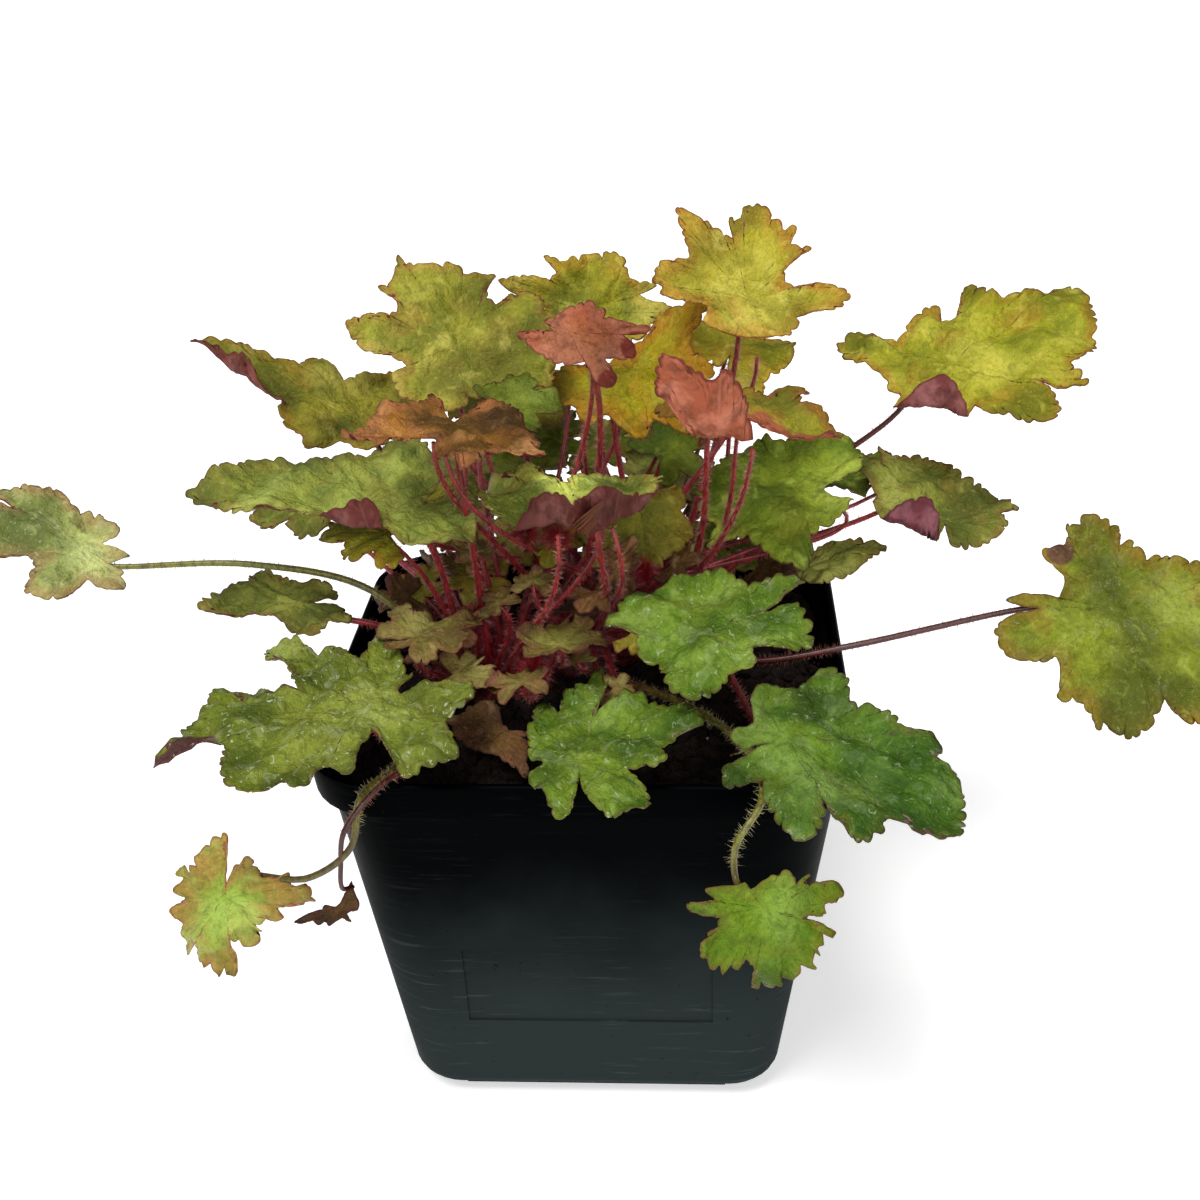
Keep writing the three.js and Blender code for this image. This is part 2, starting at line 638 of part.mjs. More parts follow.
// Which way a stalk runs where it meets its blade.
function arrival(leaf) {
  const frame = bladeFrame(leaf);
  const [tip, , face] = [0, 1, 2].map((column) => new THREE.Vector3().setFromMatrixColumn(frame, column));
  const lean = degrees(leaf.lean);
  return face.multiplyScalar(Math.cos(lean)).addScaledVector(tip, Math.sin(lean));
}

// From inside the head, nearer its middle for a higher leaf, up and over to the blade.
function stalkCurve(leaf, seed) {
  const head = HEADS[leaf.from];
  const seat = new THREE.Vector3(...leaf.at);
  const into = arrival(leaf);
  const lean = degrees(leaf.lean);
  const clear = (BLADE / 2 + GAP + STALK_RADIUS * Math.sin(Math.abs(lean))) / Math.cos(lean);
  const end = seat.clone().addScaledVector(into, -clear);
  const out = new THREE.Vector3(seat.x - head.x, seat.y - head.y, 0);
  const low = Math.atan2(out.length(), seat.z - head.top) / (Math.PI / 2);
  out.normalize().applyAxisAngle(new THREE.Vector3(0, 0, 1), degrees(70 * (chance(seed, 30) - 0.5)));
  const start = new THREE.Vector3(head.x, head.y, head.top - ROOT);
  start.addScaledVector(out, head.radius * (0.15 + 0.6 * low));
  if (leaf.via) {
    const via = leaf.via.map((p) => new THREE.Vector3(...p));
    return new THREE.CatmullRomCurve3([start, ...via, end.clone().addScaledVector(into, -4), end]);
  }
  const span = start.distanceTo(end);
  const bow = new THREE.Vector3(...leaf.bow);
  const rising = start.clone().addScaledVector(out, span * 0.1).add(bow);
  rising.z += span * 0.35;
  const arriving = end.clone().addScaledVector(into, -span * 0.3).add(bow);
  return new THREE.CubicBezierCurve3(start, rising, arriving, end);
}

function stalkSolid(leaf, seed) {
  const section = new THREE.Shape(
    Array.from({ length: STALK_SIDES }, (_, i) => {
      const turn = (i / STALK_SIDES) * Math.PI * 2;
      return new THREE.Vector2(Math.cos(turn), Math.sin(turn)).multiplyScalar(STALK_RADIUS);
    }),
  );
  const steps = leaf.via ? TRAILING_STEPS : STALK_STEPS;
  return toSolid(new THREE.ExtrudeGeometry(section, { steps, extrudePath: stalkCurve(leaf, seed) }));
}

// ---------------------------------------------------------------- assembly

const plant = new THREE.Group();

function addPiece(name, solid, look) {
  const mesh = new THREE.Mesh(toGeometry(solid), new THREE.MeshStandardMaterial({ metalness: 0, ...look }));
  mesh.name = name;
  plant.add(mesh);
}

const leaves = LEAVES.map((row) => ({ ...PLAIN, ...row }));
addPiece("pot", potSolid(), { color: "#14181a", roughness: 0.5 });
addPiece("soil", soilSolid(), { color: "#1d1613", roughness: 1 });
const crown = leaves
  .map((leaf, i) => stalkSolid(leaf, i + 1))
  .reduce((all, stalk) => all.add(stalk), crownSolid(0));
addPiece("crown_with_stalks", crown, { color: "#a8484a", roughness: 0.7 });
leaves.forEach((leaf, i) => {
  const name = `leaf_${String(i + 1).padStart(2, "0")}`;
  addPiece(name, bladeSolid(leaf, i + 1), TONES[leaf.tone]);
});

export default plant;
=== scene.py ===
"""A heuchera growing in a black square nursery pot.

The object stands on z = 0 with the front of its pot towards -Y. Shapes are worked out in millimetres and
turned into metres when a mesh is finished.
"""

import math
import random

import bmesh
import bpy
import numpy as np
from mathutils import Matrix, Vector


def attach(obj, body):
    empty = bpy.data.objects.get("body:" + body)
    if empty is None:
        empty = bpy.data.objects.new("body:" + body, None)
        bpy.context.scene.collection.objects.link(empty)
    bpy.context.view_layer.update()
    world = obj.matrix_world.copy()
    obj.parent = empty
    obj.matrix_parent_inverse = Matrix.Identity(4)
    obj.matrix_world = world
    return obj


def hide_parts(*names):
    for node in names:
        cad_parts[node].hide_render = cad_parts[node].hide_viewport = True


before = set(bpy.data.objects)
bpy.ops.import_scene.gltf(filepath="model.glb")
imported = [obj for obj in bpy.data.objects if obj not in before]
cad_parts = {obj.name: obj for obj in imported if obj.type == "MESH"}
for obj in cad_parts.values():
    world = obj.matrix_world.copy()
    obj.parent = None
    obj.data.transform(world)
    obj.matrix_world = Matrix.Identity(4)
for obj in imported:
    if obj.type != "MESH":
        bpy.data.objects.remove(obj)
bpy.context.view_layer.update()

MM = 0.001
BRIGHTNESS = 0.72  # of a finish, against the colour that it shows in the studio light

# ---------------------------------------------------------------- sizes, in millimetres

POT_HEIGHT = 98
RIM_HALF = 60  # from the pot's middle to the outside of its rim
RIM_BAND = 9  # height of the band under the rim
RIM_STEP = 2.6  # how far the rim stands out from the wall
BASE_HALF = 44.5  # from the pot's middle to its wall, just above the rounded foot
WALL = 1.3
WALL_FROM = 6  # height at which the straight wall starts
BASE_CORNER, TOP_CORNER = 12, 17  # radius of the wall's corners, low and high
FOOT_LONG, FOOT_SHORT, FOOT_HEIGHT = 39.5, 31.5, 2
DRAIN_RADIUS, DRAIN_INSET = 4, 33.5
PANEL_WIDTH, PANEL_HEIGHT, PANEL_MIDDLE, PANEL_DEPTH = 57, 23, 37, 0.5
RING_SIDE, RING_CORNER = 6, 8  # spans of a pot ring along each side and round each corner

SOIL_EDGE, SOIL_MOUND, SOIL_BUMPS = 89.5, 1.6, 0.7
SOIL_FLOOR, SOIL_SHOULDER = 4, 4.5  # height of its underside, and how far under its edge its sides end
CRUMBS, PERLITE_GRAINS = 3600, 70

# The crown's heads: middle, radius and top. Tufts of hair between the stalks: middle and radius.
HEADS = {"left": (-24, 2, 15, 96), "back": (13, 28, 14, 95), "middle": (-4, 14, 14, 97)}
HEAD_DEPTH = 8
TUFTS = (
    (-14, -4, 131, 4), (-6, -8, 132, 4), (13, 0, 120, 4), (-26, -8, 112, 4),
    (2, -6, 116, 4), (18, 8, 118, 4), (-12, -20, 104, 5),
)
HEAD_HAIRS, TUFT_HAIRS = 4200, 500

STALK_THICK, STALK_THIN = 0.95, 0.62  # radius of a stalk at its head and under its blade
ROOT = 3.5  # how deep in its head a stalk starts
SEATED = 0.8  # how far under a blade's middle its stalk ends
STALK_HAIRS = 9  # on each millimetre of stalk
BARE_BELOW = 93  # height under which a stalk has no hairs

BLADE = 0.3  # thickness of a leaf blade
NOTCH = 0.1  # how near the rim runs to the stalk behind it, as a share of the blade's reach
CURL_FROM = 0.45  # share of the reach at which a lobe starts to curl
OUTLINED_CURL = 0.2  # share of its curl that a lobe of an outlined blade keeps
GAP_DEPTH = 0.4  # how much nearer than its neighbours a corner lies where the rim turns sharply
RING_STEP = 1.8  # between two rows of a blade's mesh
RIM_STEP_LENGTH = 0.45  # between two points of a blade's rim
TOOTH_WIDTH = 3.7
TOOTH_DEPTH = 1.6
VEIN_SLANT = 1.3  # how far a side vein runs out for each step aside
VEIN_PITCH = 5.6


# ---------------------------------------------------------------- the leaves


def palmate(size):
    """Lobes of a regular blade."""
    return [(at, size * (1 - 0.42 * (abs(at) / 143) ** 1.6)) for at in (-143, -96, -48, 0, 48, 96, 143)]


def withered(size):
    """Five short lobes that curl up and down by turns."""
    short = 0.8 * size
    return [(-125, size, -70), (-62, short, 95), (0, size, -70), (62, short, 95), (125, size, -70)]


PLAIN = {
    "cut": 0.3, "cup": 0, "pleat": 0.03, "ruffle": 0.06, "droop": 8, "sides": 6, "lean": 40,
    "bow": (0, 0, 0), "via": (), "frill": 1.0, "pointed": 0.1, "stalk": "red", "folds": (),
    "outline": (), "hub": (0, 0), "flush": (), "shade": (), "tone": 1.0,
}
LEAVES = []


def leaf(look, head, at, tip, face, lobes, **more):
    """Adds a leaf: its finish, its head, the end of its stalk, where it points and faces, and its lobes.

    A lobe is its direction from the midrib in degrees, its reach and, where it curls, by how many degrees.
    bow pushes the stalk aside, via leads it past places, and lean is its tilt where it meets the blade.
    outline gives the corners of a rim that isn't regular: direction and reach as seen from the hub, which
    lies ahead and aside of where the stalk ends.
    A fold bends what lies past a straight line: the line's direction and distance, how far and how tightly
    it bends, and between which directions.
    flush lists spots where the underside's colour shows: direction, distance and radius. The tone factor
    makes a blade paler or darker than others of its look: partly its own tone, partly painted light that
    brightens a blade lying in shadow. Its spots, each a direction, distance, radius and factor, make parts
    paler or darker still: painted light on shaded parts, painted shade and the blade's own darker patches.
    """
    lobes = [(*lobe, 0)[:3] for lobe in lobes]
    own = {"look": look, "head": head, "at": at, "tip": tip, "face": face, "lobes": lobes}
    LEAVES.append({**PLAIN, **own, **more})


# leaf_01 to leaf_11: high leaves, seen from the front, left to right
leaf("olive", "left", (-56, 27, 148), (-0.95, 0.1, 0.3), (0.1, -0.35, 0.93),
     [(-135, 13), (-92, 21), (-50, 22), (-8, 44, 35), (26, 22, -12), (66, 17, -15), (115, 12, -20)],
     bow=(-9, 7, 10),
     outline=[(-148, 18), (-119, 19), (-92, 21), (-82, 18), (-70, 18), (-53, 15), (-51, 23), (-37, 25),
              (-30, 24), (-30, 28), (-14, 51), (-2, 37), (2, 20), (2, 22), (34, 19), (44, 16),
              (55, 17), (60, 16), (75, 9), (112, 11), (156, 9)],
     folds=((64, 9.6, 150, 1.2, -30, 12),))
leaf("sage", "left", (-38, -15, 141), (-1, 0, 0.13), (0.03, -0.24, 0.97),
     [(-138, 19), (-95, 28), (-58, 33), (-27, 47), (-3, 57, -10), (42, 24, 110), (98, 15), (155, 17)],
     bow=(-1, 0, -1), ruffle=0.02,
     hub=(6, 2),
     outline=[(-125, 19), (-125, 25), (-118, 27), (-108, 26), (-96, 31), (-89, 32), (-76, 29),
              (-55, 23), (-32, 38), (-23, 39), (-10, 48), (-6, 44), (-6, 41), (2, 32), (8, 15),
              (61, 12), (77, 10), (112, 5), (125, 9), (163, 21), (178, 21), (216, 22), (222, 13)],
     folds=((79, 7.1, 150, 1.2, 5, 60),))
leaf("pale_olive", "left", (-31, 15, 161), (-0.1, 0.6, 0.75), (0.05, -0.42, 0.9),
     [(-140, 12, -30), (-98, 23, -15), (-67, 27), (-36, 29, 25), (-9, 31), (19, 33, 20), (53, 32, -15),
      (98, 20, -20), (142, 13, -20)], bow=(4, 2, -3),
     hub=(9, -1),
     outline=[(-160, 14), (-131, 16), (-119, 24), (-106, 24), (-64, 24), (-51, 24), (-44, 20),
              (-44, 15), (-30, 17), (-30, 22), (-12, 19), (-6, 22), (9, 21), (24, 25), (25, 28),
              (38, 22), (46, 24), (46, 18), (54, 16), (65, 26), (69, 28), (85, 22), (90, 16),
              (108, 12), (108, 16), (117, 17), (130, 18), (167, 16), (188, 14)])
leaf("russet", "left", (-27, -16, 162), (-0.42, -0.9, 0), (0, -0.1, 1),
     [(-143, 18, 50), (-81, 26), (-41, 15), (20, 18), (69, 26), (110, 20), (148, 15, 25)], tone=1.3,
     bow=(2, 1, 0), lean=0, cup=0.12,
     shade=((138, 11, 11, 0.5), (95, 18, 9, 0.6), (-49, 11, 9, 1.35), (-75, 20, 8, 1.2), (20, 9, 6, 0.7)),
     outline=[(-144, 4), (-135, 22), (-98, 13), (-90, 19), (-54, 19), (-46, 24), (-31, 22), (-15, 12),
              (7, 8), (12, 12), (39, 30), (62, 20), (73, 29), (158, 16), (177, 16), (190, 15)])
# leaf_05's tone factor is painted light: the steep blade faces the camera and lies in shade.
leaf("olive", "middle", (0, 36, 164), (0, 0.4, 0.9), (0, -0.5, 0.87),
     [(-125, 16), (-82, 18), (-51, 21, 40), (-23, 24), (3, 25), (31, 25, 45), (62, 22), (108, 17)],
     tone=1.7, bow=(1, 5, -1),
     hub=(8, 0),
     outline=[(-123, 14), (-101, 16), (-90, 20), (-71, 12), (-71, 17), (-62, 15), (-51, 12), (-27, 16),
              (18, 14), (27, 13), (41, 18), (43, 12), (54, 14), (71, 24), (77, 20), (80, 14),
              (112, 12), (140, 12)])
leaf("rosy", "middle", (3, -17, 178), (-0.2, 0.4, 0.8), (-0.1, -0.7, 0.7),
     [(-150, 10, 150), (-105, 11, 150), (-72, 13, 50), (-38, 12), (2, 13), (36, 14, -15), (64, 18, -15),
      (120, 9)], bow=(0, 7, -1),
     hub=(5, 3),
     outline=[(-163, 13), (-151, 14), (-143, 13), (-139, 9), (-124, 15), (-113, 14), (-103, 11),
              (-103, 16), (-98, 17), (-83, 10), (-59, 9), (-36, 8), (49, 6), (71, 3), (71, 12),
              (81, 11), (149, 7)],
     shade=((10, 8, 5, 1.3), (60, 12, 6, 1.35), (-120, 4, 5, 0.7)),
     flush=((-94, 10, 4), (-156, 8, 4)))
leaf("amber", "back", (5, 20, 154), (0.45, 0.4, 0.8), (-0.1, -0.55, 0.83),
     [(-114, 13), (-78, 23, -15), (-44, 29), (-9, 29), (28, 20), (70, 16), (108, 18), (160, 10)],
     bow=(2, 3, -5),
     hub=(10, -2),
     outline=[(-164, 15), (-152, 17), (-142, 17), (-134, 13), (-112, 23), (-98, 22), (-88, 17),
              (-66, 19), (-45, 14), (-26, 22), (-21, 22), (0, 17), (10, 13), (10, 9), (108, 9),
              (108, 20), (128, 25), (139, 21), (147, 17), (158, 18), (166, 17), (166, 14)])
leaf("gold", "back", (35, 10, 176), (0.15, 0.45, 0.88), (-0.05, -0.5, 0.87),
     [(-130, 13, -40), (-95, 17, -15), (-66, 26, -10), (-37, 23, 45), (-2, 29), (32, 28, 25), (66, 23),
      (98, 15, -20), (135, 13, -40)], bow=(-1, 2, 0),
     hub=(6, -1),
     outline=[(-166, 9), (-123, 13), (-107, 13), (-103, 12), (-90, 21), (-81, 23), (-72, 20),
              (-69, 11), (-57, 9), (-45, 12), (-45, 18), (-31, 15), (-28, 19), (-19, 18), (-1, 22),
              (12, 21), (13, 18), (21, 19), (22, 14), (45, 27), (62, 16), (73, 22), (86, 23), (87, 20),
              (92, 21), (107, 9), (125, 11), (142, 10)])
leaf("salmon", "back", (28, -10, 159), (1, 0.1, 0), (-0.05, -0.15, 1),
     [(-135, 16), (-80, 15), (-28, 24, 45), (2, 32), (38, 32), (74, 24, 40), (106, 28, 80),
      (145, 20, 50)], bow=(14, 3, -1),
     hub=(3, 6),
     outline=[(-112, 21), (-116, 29), (-104, 38), (-99, 35), (-91, 26), (-87, 29), (-74, 20), (-42, 8),
              (-25, 24), (-18, 28), (2, 24), (6, 18), (21, 23), (30, 22), (34, 14), (48, 15), (64, 14),
              (91, 7), (158, 15)],
     folds=((-80, 3.7, 85, 3, -180, -40),),
     flush=((7, 12, 3), (-2, 16, 3), (-6, 20, 3), (-8, 24, 3), (0, 9, 3)))
# leaf_10's tone factor is painted light: the blade lies in the shadow of leaf_08.
leaf("olive", "back", (34, 27, 164), (1, 0.1, 0), (0, -0.5, 0.87),
     [(-145, 10), (-60, 11), (-10, 15), (28, 14), (80, 9), (140, 13)], tone=2.9, bow=(14, 15, -5),
     hub=(0, 2),
     outline=[(-103, 8), (-85, 16), (-65, 15), (-53, 12), (-43, 13), (-11, 15), (13, 14), (27, 6),
              (107, 8), (143, 12), (173, 12), (237, 7)])
leaf("citrus", "back", (76, 32, 151), (1, 0.1, 0.3), (-0.2, -0.5, 0.85),
     [(-150, 11, 20), (-95, 15, 130), (-48, 22), (-22, 36), (2, 47, -10), (25, 51), (51, 38), (80, 27, 15),
      (119, 24, -10), (158, 12)], bow=(8, -1, 6), stalk="brown",
     hub=(11, 5),
     outline=[(-121, 20), (-113, 21), (-104, 20), (-78, 14), (-78, 18), (-65, 24), (-51, 31),
              (-37, 27), (-34, 22), (-34, 33), (-31, 34), (-20, 29), (-13, 35), (-4, 37), (-2, 36),
              (0, 38), (15, 41), (24, 39), (24, 32), (29, 33), (34, 32), (40, 26), (44, 26), (59, 31),
              (64, 28), (64, 18), (77, 16), (77, 22), (101, 19), (110, 17), (126, 19), (128, 27),
              (134, 29), (141, 29), (149, 24), (152, 20), (175, 14), (186, 15), (199, 13)],
     folds=((-112, 2.6, 150, 1.5, -175, -43),))

# leaf_12 to leaf_19: the middle tier
# leaf_12's tone factor and its paler spots are painted light: leaves above it shade the blade.
leaf("sage", "middle", (4, -30, 145), (0.1, 1, 0.1), (0, -0.05, 1),
     [(-140, 17, 85), (-90, 22, 40), (-48, 25, 10), (-12, 29, 15), (24, 32, 12), (60, 30), (97, 26, 20),
      (140, 18, 80)], tone=1.6, bow=(2, -4, -2), lean=-10,
     outline=[(-178, 15), (-150, 14), (-119, 12), (-90, 11), (-55, 14), (-40, 18), (-30, 24), (-11, 32),
              (6, 24), (20, 24), (33, 19), (33, 36), (43, 32), (46, 41), (78, 27), (89, 21), (97, 17),
              (117, 14), (139, 10), (160, 13), (178, 15)],
     folds=((156, 3.5, 95, 1.2, 96, 190), (-120, 1.9, 95, 1.2, -190, -38)),
     shade=((-60, 18, 12, 0.8), (55, 22, 18, 1.7), (20, 26, 9, 1.4)),
     flush=((180, 9, 9),))
leaf("green", "back", (53, 20, 132), (-1, -0.2, -0.15), (0.05, -0.42, 0.9),
     [(-146, 18), (-108, 18), (-70, 22), (-33, 28), (0, 28, -10), (56, 21, -10), (98, 16), (142, 12)],
     tone=1.15,
     hub=(5, 0),
     outline=[(-176, 9), (-172, 18), (-151, 23), (-120, 20), (-93, 19), (-81, 22), (-35, 23),
              (-10, 23), (1, 22), (11, 20), (19, 25), (36, 18), (79, 23), (88, 20), (96, 13),
              (133, 14), (153, 15), (153, 12)])
leaf("grey_green", "back", (72, 28, 124), (1, 0.1, -0.1), (0.05, -0.45, 0.9),
     [(-145, 10, 20), (-95, 14, 120), (-42, 21, -15), (-10, 32, -10), (17, 38, -30), (46, 25), (76, 20),
      (110, 15), (150, 10)],
     hub=(13, -2),
     outline=[(-183, 16), (-149, 16), (-117, 15), (-107, 12), (-85, 4), (-85, 9), (-77, 11), (-35, 14),
              (-5, 17), (5, 15), (7, 20), (22, 19), (48, 15), (76, 18), (103, 23), (120, 22),
              (120, 26), (131, 20), (132, 25), (140, 27), (161, 16)],
     folds=((-98, 4.4, 150, 1.5, -180, -47),))
leaf("grey_green", "back", (51, 15, 113), (1, 0.2, 0.2), (-0.1, -0.15, 1),
     [(-130, 9), (-75, 10), (-20, 15), (13, 24), (45, 16), (85, 12), (130, 9)], tone=0.9, bow=(2, 0, 2),
     hub=(1, 0),
     outline=[(-122, 4), (-80, 7), (-18, 13), (6, 21), (13, 21), (34, 14), (81, 5)])
leaf("citrus", "left", (-46, -8, 133), (-1, 0, 0), (0, -0.3, 0.95),
     [(-125, 9), (-58, 11), (-8, 16), (38, 11), (110, 11)], tone=1.15)
leaf("green", "middle", (-19, 4, 159), (0.6, 0.3, 0.1), (0, -0.4, 0.92),
     [(-120, 9), (-62, 11), (-10, 15), (40, 14), (93, 11)], tone=0.62, bow=(-2, 7, 6))
leaf("olive", "middle", (12, 5, 134), (0, -0.3, -0.9), (0, -0.9, 0.35),
     [(-95, 11), (-42, 14), (6, 16), (50, 15), (105, 11)], cut=0.1, tone=0.85)
leaf("green", "back", (17, 35, 135), (0.6, 0.4, 0.3), (0, -0.5, 0.87),
     [(-120, 9), (-62, 11), (-5, 13), (50, 12), (110, 10)])

# leaf_20 to leaf_22: long stalked leaves at the sides
leaf("pale_green", "left", (-118, 0, 123), (-1, -0.1, 0.1), (0.05, -0.5, 0.87),
     [(-162, 9), (-113, 12), (-70, 26), (-42, 35), (-15, 34), (13, 27), (50, 17), (100, 12), (145, 11)],
     via=((-52, 0, 115), (-80, 0, 122)), lean=70, stalk="olive",
     hub=(5, -5),
     outline=[(-200, 11), (-187, 13), (-177, 6), (-162, 10), (-146, 11), (-118, 10), (-117, 11),
              (-79, 12), (-70, 16), (-62, 19), (-34, 29), (-32, 28), (-32, 18), (-28, 26), (-14, 26),
              (3, 24), (12, 21), (12, 13), (38, 11), (54, 17), (70, 17), (88, 16), (113, 11),
              (124, 16), (135, 18), (142, 17), (142, 15), (148, 15)])
leaf("tan_olive", "middle", (108, -5, 112), (0.95, -0.2, -0.1), (-0.05, -0.75, 0.66),
     [(-140, 16), (-92, 23), (-58, 33), (-26, 41), (4, 42, -10), (38, 36), (80, 27), (115, 17), (160, 13)],
     via=((40, -8, 100), (61, -8, 104)), lean=65, stalk="brown",
     hub=(12, 2),
     outline=[(-166, 22), (-159, 27), (-150, 27), (-143, 26), (-130, 20), (-129, 17), (-121, 18),
              (-110, 25), (-98, 23), (-87, 28), (-83, 27), (-74, 30), (-63, 28), (-51, 23), (-50, 30),
              (-45, 32), (-27, 32), (-8, 31), (13, 29), (25, 21), (31, 26), (42, 25), (72, 16),
              (86, 17), (93, 15), (93, 19), (99, 22), (114, 24), (119, 22), (125, 23), (131, 19),
              (148, 21), (154, 13), (177, 12), (179, 20), (186, 24)],
     flush=((96, 14, 4),))
leaf("grey_green", "left", (-68, -5, 114), (-1, 0, 0), (0, -0.3, 0.95),
     [(-140, 11), (-90, 12), (-42, 20), (-6, 26), (30, 17), (92, 12, -15), (148, 14)],
     tone=0.85, bow=(-9, -1, 3),
     outline=[(-155, 9), (-121, 10), (-96, 9), (-81, 8), (-49, 20), (-39, 20), (-32, 17), (-21, 22),
              (5, 24), (9, 22), (20, 9), (86, 9), (119, 13), (135, 11), (157, 14), (178, 10)])

# leaf_23 to leaf_28: the low leaves over the rim, the last two hanging down the pot
leaf("silver_green", "left", (-43, -54, 112), (-0.1, 1, 0), (0, -0.25, 0.97),
     [(-155, 26), (-92, 22), (-50, 18), (-5, 31), (34, 44), (62, 58, -70), (102, 38), (132, 33), (162, 20)],
     bow=(2, -2, -3), lean=-15,
     hub=(3, 1),
     outline=[(-160, 12), (-160, 26), (-147, 27), (-136, 29), (-116, 19), (-98, 19), (-89, 23),
              (-65, 23), (-59, 19), (-50, 9), (-39, 10), (-39, 15), (-21, 20), (-11, 28), (-2, 35),
              (9, 24), (17, 34), (24, 35), (28, 43), (33, 46), (39, 42), (39, 34), (58, 18), (58, 29),
              (62, 31), (62, 36), (66, 39), (86, 36), (87, 38), (96, 41), (96, 44), (102, 45),
              (103, 30), (120, 33), (133, 36), (138, 36), (147, 35), (148, 29), (159, 32), (162, 22),
              (178, 25), (180, 18)],
     flush=((97, 41, 4), (96, 35, 4), (98, 45, 4)))
leaf("fresh", "middle", (1, -62, 106), (-0.31, 0.95, 0), (0, -0.55, 0.83),
     [(-150, 16), (-104, 18), (-58, 38), (-24, 42), (12, 25), (58, 17), (106, 14), (150, 16)],
     bow=(7, -4, -1), lean=-15, cut=0.62,
     outline=[(-189, 12), (-182, 20), (-172, 24), (-159, 24), (-146, 18), (-138, 12), (-128, 20),
              (-114, 18), (-95, 21), (-94, 27), (-69, 27), (-50, 25), (-45, 24), (-26, 17), (-26, 33),
              (-21, 39), (-7, 30), (-3, 24), (1, 30), (8, 28), (55, 11), (69, 7), (86, 11), (135, 13),
              (146, 17), (156, 18), (162, 13)])
leaf("deep", "back", (43, -61, 111), (0.97, 0.23, 0.04), (0, -0.4, 0.92),
     [(-150, 17), (-98, 24), (-68, 30), (-38, 41), (-8, 34), (38, 22), (100, 17), (152, 14)], lean=0,
     outline=[(-162, 15), (-145, 17), (-126, 11), (-122, 15), (-105, 23), (-91, 24), (-81, 20),
              (-78, 15), (-76, 28), (-64, 29), (-58, 27), (-54, 30), (-54, 34), (-52, 35), (-52, 38),
              (-42, 40), (-22, 37), (-16, 35), (-16, 31), (-12, 33), (-6, 31), (-5, 26), (7, 23),
              (23, 17), (32, 20), (44, 22), (54, 21), (63, 13), (82, 14), (96, 14), (110, 12),
              (137, 7), (165, 11), (187, 9), (187, 12)])
leaf("fresh", "back", (34, -36, 124), (-0.9, -0.4, -0.1), (0, -0.25, 0.97),
     [(-155, 21), (-94, 22), (-58, 26), (-26, 30), (6, 25), (42, 24), (84, 16), (138, 18)],
     bow=(2, 3, -3), lean=-10,
     hub=(9, 1),
     outline=[(-165, 21), (-163, 31), (-158, 30), (-142, 21), (-117, 24), (-89, 21), (-42, 22),
              (-30, 19), (-30, 13), (-16, 14), (-1, 13), (9, 11), (40, 16), (63, 18), (101, 12),
              (119, 14), (141, 11), (141, 18), (158, 24), (174, 24), (189, 23)])
leaf("bright", "middle", (34, -84, 89), (0.3, -0.3, -1), (0.1, -0.9, 0.4),
     [(-150, 10), (-97, 14), (-42, 19), (-10, 22), (20, 23), (48, 22), (76, 20), (108, 12), (150, 9)],
     via=((24, -30, 100), (37, -58, 104), (38, -73, 103), (33, -79, 97)), lean=30, cut=0.62,
     pointed=0.8, stalk="olive",
     hub=(4, 3),
     outline=[(-146, 7), (-125, 12), (-115, 9), (-113, 14), (-108, 15), (-98, 12), (-94, 8), (-70, 16),
              (-51, 16), (-35, 14), (-32, 11), (-22, 14), (-19, 19), (-3, 18), (26, 16), (28, 15),
              (36, 15), (36, 13), (54, 16), (58, 8), (63, 13), (71, 13), (79, 17), (89, 16), (94, 12),
              (104, 12), (105, 8), (116, 9), (135, 9), (197, 4)])
leaf("sunlit", "left", (-75, -68, 76), (-0.6, 0, -0.8), (0, -0.95, 0.3),
     [(-146, 15), (-82, 13), (-36, 16), (0, 21), (34, 20), (72, 14), (122, 20), (165, 12)],
     via=((-38, -50, 98), (-44, -66, 99), (-46, -70, 90), (-56, -70, 82)), lean=60, cut=0.62,
     pointed=0.8, stalk="olive",
     hub=(1, 0),
     outline=[(-151, 6), (-150, 15), (-128, 13), (-100, 10), (-76, 12), (-68, 10), (-55, 12),
              (-39, 10), (-37, 13), (-30, 14), (-16, 12), (-12, 16), (3, 23), (4, 14), (12, 20),
              (43, 18), (44, 9), (68, 13), (100, 10), (111, 14), (121, 14), (130, 21), (141, 21),
              (145, 17), (151, 17), (159, 11), (182, 14), (194, 9)])

# leaf_29 to leaf_32: small young leaves round the heads
leaf("young", "left", (-37, -24, 115), (1, 0.1, 0), (0, -0.1, 1),
     [(-155, 8, 40), (-75, 9, -40), (-18, 12, 30), (28, 16), (72, 13, -50), (116, 13, 30), (158, 11)],
     bow=(1, -1, -5), frill=2)
leaf("young", "middle", (-5, -28, 115), (-0.2, 1, 0), (0, -0.55, 0.83),
     [(-145, 9, 60), (-92, 11, -40), (-45, 11, 50), (0, 14, -60), (52, 12, 60), (115, 9)],
     lean=0, frill=3, cup=0.15)
leaf("young", "middle", (-13, -35, 109), (-0.2, 1, 0), (0, -0.7, 0.7),
     [(-140, 7), (-70, 7, 70), (0, 9, -60), (60, 8, 70), (125, 7, -40)], lean=0, frill=2.5)
leaf("young", "left", (-29, -25, 106), (1, -0.1, 0), (0, -0.5, 0.87),
     [(-130, 7, 60), (-70, 8, -50), (-5, 10, 60), (60, 8, -50), (125, 7, 60)], frill=2.5)

